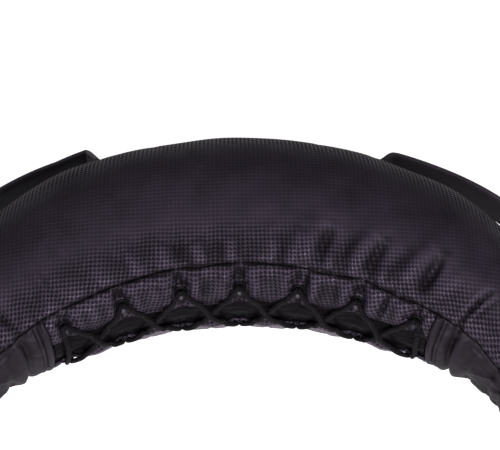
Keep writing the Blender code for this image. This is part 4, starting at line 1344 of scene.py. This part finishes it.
def strap_frames(side, alongs):
    pairs = strap_outs(side)
    outs = np.interp(alongs, *pairs.T)
    centres = base_point(side * alongs, math.pi, outs)
    tangents = unit(np.gradient(centres, axis=0))
    up = np.array([0, 0, 1.0])
    wide = unit(up - tangents * (tangents @ up)[:, None])
    thick = np.cross(wide, tangents)
    thick *= np.sign((thick * -inward_at(side * alongs)).sum(-1))[:, None]
    return centres, wide, thick


def strap_stitches(frames, sewn, free):
    """Two rows on each face of a strap's free length, and a crossed box on its sewn end."""
    centres, wide, thick = frames
    runs = []
    for face_side in (1, -1):
        for height in (1, -1):
            path = centres + wide * height * (STRAP_WIDTH / 2 - STRAP_STITCH_INSET)
            path = path + thick * face_side * (STRAP_THICKNESS / 2 - 0.25 * MM)
            runs.append((path[free], thick[free] * face_side))
    share = np.linspace(0, 1, 12)[:, None]
    across = (2 * share - 1) * (STRAP_WIDTH / 2 - BOX_STITCH_INSET)
    near, far = sewn
    box = ((near, near, 1, 0.1), (far, far, 1, 0.1), (near, far, 1, 0.15), (near, far, -1, 0.15))
    for first, last, flip, out in box:
        spine = centres[first] * (1 - share) + centres[last] * share
        path = spine + wide[first] * flip * across + thick[first] * (STRAP_THICKNESS / 2 + out * MM)
        runs.append((path, np.repeat(thick[first][None], len(share), axis=0)))
    return runs


def strap_half(prefix, side, part, start, end, blend, *nodes):
    """One half of a strap: sewn to the bag at its start, free past the joint."""
    alongs = np.linspace(min(start, end), max(start, end), 150)
    frames = strap_frames(side, alongs)
    centres, wide, thick = frames
    section = strap_section()
    off_start = np.abs(alongs - start)
    narrowed = 1 - 0.06 * bump(off_start, 0, 1.2 * MM)
    thinned = 1 - 0.5 * bump(off_start, 0, 0.8 * MM)
    rings = centres[:, None] + wide[:, None] * (section[:, 0] * narrowed[:, None])[..., None]
    rings = rings + thick[:, None] * (section[:, 1] * thinned[:, None])[..., None]
    rows, columns = rings.shape[:2]
    faces = tube_faces(rows, columns).tolist()
    faces += [list(range(columns))[::-1], list(range((rows - 1) * columns, rows * columns))]
    inside = np.flatnonzero(off_start < TAB_LENGTH)
    if start < end:
        sewn, free = (inside[6], inside[-4]), np.s_[4:]
    else:
        sewn, free = (inside[-7], inside[3]), np.s_[:-4]
    # Faces in the band take the pale material, a painted highlight
    highlighted = np.abs((alongs[1:] + alongs[:-1]) / 2 - STRAP_HIGHLIGHT_PLACE) < STRAP_HIGHLIGHT_WIDTH / 2
    picks = [*np.repeat(highlighted.astype(int), columns), 0, 0]
    uvs = pairs_of(run_lengths(centres), run_lengths(section))
    name = f"{prefix}_strap_{part}_half"
    piece = with_stitches(name, rings, faces, uvs, [STRAP, BEND_HIGHLIGHT], strap_stitches(frames, sewn, free), picks)
    first, last = strap_frames(side, np.array(blend))[0]
    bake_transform(piece)
    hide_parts(*nodes)


def strap_patch(name, side, start, node):
    """The pad sewn to the bag under a strap end, its corners round and its rim stitched."""
    half = np.array([TAB_LENGTH / 2 + PATCH_MARGIN, STRAP_WIDTH / 2 + PATCH_MARGIN])
    square = np.stack(grid(*(edge_spaced(2 * h, PATCH_PITCH) - h for h in half)), -1)
    inner = half - PATCH_CORNER
    over = np.maximum(np.abs(square) - inner, 0)
    off_corner = np.linalg.norm(over, axis=-1, keepdims=True)
    pull = np.minimum(PATCH_CORNER / np.maximum(off_corner, 1e-9), 1)
    flat = np.sign(square) * (np.minimum(np.abs(square), inner) + over * pull)

    def on_bag(spots):
        along = side * (start + TAB_LENGTH / 2 + spots[..., 0])
        return along, math.pi + turn_of(along, spots[..., 1])

    place = on_bag(flat)
    middle = FIT_GAP + PATCH_THICKNESS / 2 - TAB_SINK
    thickness = PATCH_THICKNESS / 2 * rounded((half - np.abs(square)).min(-1), 0.6 * MM)
    points = np.stack([base_point(*place, middle + sign * thickness) for sign in (1, -1)])
    uvs = np.stack([strip_uvs(*place)] * 2)
    corners = (half - PATCH_STITCH_INSET) * ((-1, -1), (1, -1), (1, 1), (-1, 1), (-1, -1))
    share = np.linspace(0, 1, 16)[:-1, None]
    rim = on_bag(np.concatenate([a + (b - a) * share for a, b in zip(corners, corners[1:])]))
    path = base_point(*rim, FIT_GAP + PATCH_THICKNESS + 0.1 * MM - TAB_SINK)
    runs = [(path, path - base_point(*rim, -TAB_SINK))]
    piece = with_stitches(name, points, plate_faces(*square.shape[:2]), uvs, [PLAIN], runs)
    dressed(piece, "smooth_leather", node)


def straps():
    middle = (STRAP_START + STRAP_END) / 2
    for prefix, side in SIDES:
        inner, outer = prefix + "_strap_inner_end", prefix + "_strap_outer_end"
        strap_half(prefix, side, "inner", INNER_TAB_START, middle, INNER_BLEND, inner, prefix + "_strap")
        strap_half(prefix, side, "outer", OUTER_TAB_START + TAB_LENGTH, middle, OUTER_BLEND, outer)
        strap_patch(prefix + "_inner_pad", side, INNER_TAB_START, prefix + "_inner_patch")
        strap_patch(prefix + "_outer_pad", side, OUTER_TAB_START, prefix + "_outer_patch")


# Necks and grips

BAND_STITCH_INSET = 3.2 * MM
# The sleeve's foot is tucked into the band, and its end laps the grip
TUCKS = np.array([-2.5, -1.2, 0.2]) * MM
TUCK_RADIUS = 27.3 * MM
SLEEVE_LAP = 0.8 * MM
# Radius in millimetres by share of the sleeve's length
SLEEVE_RADII = ((0, 29.8), (0.1, 31.0), (0.3, 32.2), (0.55, 31.6), (0.8, 29.6), (1, 28.0))
SLEEVE_SEAM = 0.9
# Shares of the grip's radius and of the cap's height, from the foot's middle to the top's
CAP_PROFILE = (
    (0.03, 0), (0.55, 0), (0.93, 0), (0.985, 0.05), (1, 0.14), (1, 0.26), (0.985, 0.36), (0.95, 0.4),
    (0.92, 0.37), (0.89, 0.42), (0.83, 0.6), (0.74, 0.76), (0.6, 0.89), (0.42, 0.96), (0.22, 0.99),
    (0.03, 1),
)
# The profile's point where the seam draws it in
CAP_SEAM = 8


def neck_matrix(side):
    """A frame at a neck's bending point, its Z along the grip and its X up."""
    heading = float(heading_at(np.array(side * NECK_REACH)))
    onward = Vector((math.cos(heading), -math.sin(heading), 0)) * side
    up = Vector((0, 0, 1))
    axes = Matrix((up, onward.cross(up), onward)).transposed().to_4x4()
    return Matrix.Translation(Vector(centre_at(np.array(side * NECK_REACH)))) @ axes


def turned(matrix, heights, radii, angles):
    """Rings of points about the neck's axis. radii may differ round a ring."""
    radii = np.broadcast_to(radii, (len(heights), len(angles)))
    local = np.stack([radii * np.cos(angles), radii * np.sin(angles), heights[:, None] + 0 * radii], -1)
    return moved(local, matrix)


def walled(matrix, heights, outer, inner, angles, radius):
    """Points, faces and uvs of a turned sleeve with an outer and an inner face."""
    rings = np.concatenate(
        [turned(matrix, heights, outer, angles), turned(matrix, heights, inner, angles)[::-1]]
    )
    uvs = pairs_of(np.concatenate([heights, heights[::-1]]), angles * radius)
    return rings, loop_faces(len(rings), len(angles)), uvs


def curled(wave, power):
    return np.sign(wave) * np.abs(wave) ** power


def neck_band(name, side, node):
    """The sewn band round the end of the leather: a closed ring with rolled edges."""
    angles, sweep = ring_angles(96), ring_angles(32)
    half = BINDING_LENGTH / 2
    run = NECK_REACH - half - half * curled(np.cos(sweep), 0.35)
    out = FIT_GAP + BINDING_THICKNESS / 2 * (1 + curled(np.sin(sweep), 0.5))
    out = out + 0.35 * MM * (np.sin(sweep) > 0) * np.cos(sweep) ** 2
    points = base_point(side * run[:, None], angles, out[:, None])
    uvs = pairs_of(side * run, angles * NECK_RADIUS)
    runs = []
    for place in (NECK_REACH - BINDING_LENGTH + BAND_STITCH_INSET, NECK_REACH - BAND_STITCH_INSET):
        path = base_point(side * place, angles, FIT_GAP + BINDING_THICKNESS + 0.35 * MM)
        runs.append((path, path - base_point(side * place, angles, 0.0)))
    faces = loop_faces(len(run), len(angles))
    dressed(with_stitches(name, points, faces, uvs, [PLAIN], runs), "smooth_leather", node)


def neck_sleeve(prefix, side):
    """The gathered leather from the horn's end to the grip; nothing here makes it bend with the neck."""
    matrix = neck_matrix(side)
    angles = ring_angles(128)
    heights = np.concatenate([TUCKS, np.linspace(0.6 * MM, COLLAR_FLOOR + SLEEVE_LAP, 60)])
    share = np.clip(heights / COLLAR_FLOOR, 0, 1)
    radius = eased(share, SLEEVE_RADII) * MM
    pleats = 0.6 * np.cos(14 * angles + 0.5) + 0.45 * np.cos(23 * angles + 2) + 0.35 * np.cos(9 * angles + 1)
    depth = 0.85 * MM * (np.exp(-share / 0.16) + 0.75 * np.exp(-(1 - share) / 0.2)) + 0.12 * MM
    outer = radius[:, None] + depth[:, None] * pleats - 1.2 * MM * bump(share, SLEEVE_SEAM, 0.035)[:, None]
    radius[: len(TUCKS)], outer[: len(TUCKS)] = TUCK_RADIUS, TUCK_RADIUS
    inner = np.minimum(outer - 1.6 * MM, radius[:, None] - 1.2 * MM)
    k = int(np.argmin(np.abs(share - SLEEVE_SEAM)))
    level = heights[k : k + 1]
    path = turned(matrix, level, outer[k] + 0.15 * MM, angles)[0]
    runs = [(path, path - turned(matrix, level, 0.0, angles)[0])]
    shape = walled(matrix, heights, outer, inner, angles, NECK_RADIUS)
    piece = with_stitches(prefix + "_neck_sleeve", *shape, [PLAIN], runs)
    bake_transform(piece)
    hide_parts(prefix + "_horn_closure", prefix + "_collar")


def grip_cover(prefix, side):
    """The grip's wrapped leather, its lapped seam along the underside stitched."""
    matrix = neck_matrix(side)
    angles = ring_angles(128)
    reach = edge_spaced(GRIP_LENGTH, 2 * MM)
    heights = COLLAR_FLOOR + FIT_GAP + reach
    rolled = rounded(np.minimum(reach, GRIP_LENGTH - reach), 1.2 * MM)[:, None]
    swell = 0.35 * MM * np.sin(math.pi * reach / GRIP_LENGTH)[:, None]
    off_seam = signed(angles - math.pi) * GRIP_RADIUS
    lap = 0.55 * MM * (1 - smooth(off_seam, -0.4 * MM, 0.4 * MM)) * smooth(off_seam, -16 * MM, -2 * MM)
    creases = waves(heights[:, None], ((0.16, 0.011, 0, 5), (0.14, -0.0073, 0, 3)), angles)
    radii = GRIP_RADIUS - 0.5 * MM + swell + lap + creases * MM * rolled
    outer = radii - 1.2 * MM * (1 - rolled)
    inner = GRIP_RADIUS - GRIP_WALL + 1.0 * MM * (1 - rolled)
    at = int(np.argmin(np.abs(off_seam + 2.6 * MM)))
    spot, sewn = angles[at : at + 1], np.s_[4:-4]
    path = turned(matrix, heights[sewn], outer[sewn, at : at + 1] + 0.1 * MM, spot)[:, 0]
    runs = [(path, path - turned(matrix, heights[sewn], 0.0, spot)[:, 0])]
    shape = walled(matrix, heights, outer, inner, angles, GRIP_RADIUS)
    piece = with_stitches(prefix + "_grip_cover", *shape, [CARBON], runs)
    dressed(piece, "carbon_leather", prefix + "_grip_sleeve", body=prefix + "_handle", fill=0.95)


def end_cap(prefix, side):
    """The stitched disc that closes a grip, domed and drawn in at its seam."""
    matrix = neck_matrix(side)
    foot = COLLAR_FLOOR + FIT_GAP + GRIP_LENGTH + FIT_GAP
    angles = ring_angles(96)
    width, rise = np.array(CAP_PROFILE).T[..., None]
    heights = foot + CAP_HEIGHT * rise[:, 0]
    gathers = 0.25 * MM * np.cos(17 * angles) * bump(width, 0.88, 0.05) * (rise > 0.3)
    radii = GRIP_RADIUS * width + gathers
    ends = moved(np.array([[0, 0, foot], [0, 0, foot + CAP_HEIGHT]]), matrix)
    flat = np.stack([radii * np.cos(angles), radii * np.sin(angles)], -1)
    path = turned(matrix, heights[CAP_SEAM : CAP_SEAM + 1], radii[CAP_SEAM], angles)[0]
    runs = [(path, path - moved(np.array([0, 0, foot - 0.02]), matrix))]
    shape = capped(turned(matrix, heights, radii, angles), ends, flat)
    piece = with_stitches(prefix + "_cap_leather", *shape, [PLAIN], runs)
    dressed(piece, "smooth_leather", prefix + "_end_cap", body=prefix + "_handle")


def necks():
    for prefix, side in SIDES:
        neck_band(prefix + "_neck_band", side, prefix + "_neck_binding")
        neck_sleeve(prefix, side)
        grip_cover(prefix, side)
        end_cap(prefix, side)
        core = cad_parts[prefix + "_grip_core"]
        core.data.materials.clear()
        core.data.materials.append(CORE)


# Floor and light

FLOOR_REACH = 12
FLOOR_HEIGHT = -0.0004
LAMP_AIM = (0, 0.12, 0.05)
# Name, place, width, power and colour
LAMPS = (
    ("front", (0.10, -1.90, 1.15), 0.8, 30, (1.0, 0.93, 1.0)),
    ("front_right", (1.00, -1.30, 1.35), 0.7, 12, (1.0, 0.94, 1.0)),
    ("over", (-0.80, -0.50, 2.15), 0.6, 4, (1.0, 0.95, 1.0)),
    ("behind", (-0.40, 0.60, 2.00), 0.8, 4, (1.0, 0.95, 1.0)),
)


def lay_floor():
    """A pale floor that also looks white to the camera, and a little paler to glossy leather."""
    mesh = bpy.data.meshes.new("floor")
    corners = [(x * FLOOR_REACH, y * FLOOR_REACH, 0) for x, y in ((-1, -1), (1, -1), (1, 1), (-1, 1))]
    mesh.from_pydata(corners, [], [(0, 1, 2, 3)])
    floor = linked(bpy.data.objects.new("floor", mesh))
    floor.location.z = FLOOR_HEIGHT
    s = Shader("paper", 0.9, 0.0)
    s.fill(s.shader, {"Base Color": tone(0.80, 0.80, 0.80)})
    rays = s.node("LightPath")
    mirrored = s.maths("MULTIPLY", rays["Is Glossy Ray"], 0.20)
    glow = s.node("Emission", {"Strength": s.maths("MULTIPLY_ADD", rays["Is Camera Ray"], 0.92, mirrored)})
    added = s.node("AddShader", {0: s.shader.outputs[0], 1: glow[0]})
    s.fill(s.tree.nodes["Material Output"], {"Surface": added[0]})
    mesh.materials.append(s.material)


def light_world():
    """A dim even light all round, plain white where the camera sees it."""
    world = bpy.data.worlds.new("studio")
    world.use_nodes = True
    bpy.context.scene.world = world
    tree = world.node_tree
    light = tree.nodes["Background"]
    light.inputs["Color"].default_value = tone(0.98, 0.95, 1.0)
    light.inputs["Strength"].default_value = 0.10
    kinds = ("Background", "LightPath", "MixShader")
    white, path, mix = (tree.nodes.new("ShaderNode" + kind) for kind in kinds)
    white.inputs["Strength"].default_value = 1.0
    sources = (path.outputs["Is Camera Ray"], light.outputs[0], white.outputs[0])
    for source, socket in zip(sources, mix.inputs):
        tree.links.new(source, socket)
    tree.links.new(mix.outputs[0], tree.nodes["World Output"].inputs["Surface"])


def studio():
    lay_floor()
    light_world()
    for name, place, size, power, colour in LAMPS:
        data = bpy.data.lights.new(name, "AREA")
        data.size = size
        data.energy = power
        data.color = colour
        lamp = linked(bpy.data.objects.new(name, data))
        lamp.location = place
        lamp.rotation_euler = (Vector(LAMP_AIM) - Vector(place)).to_track_quat("-Z", "Y").to_euler()


body()
lace()
straps()
necks()
studio()

bpy.context.scene.view_settings.view_transform = "Standard"
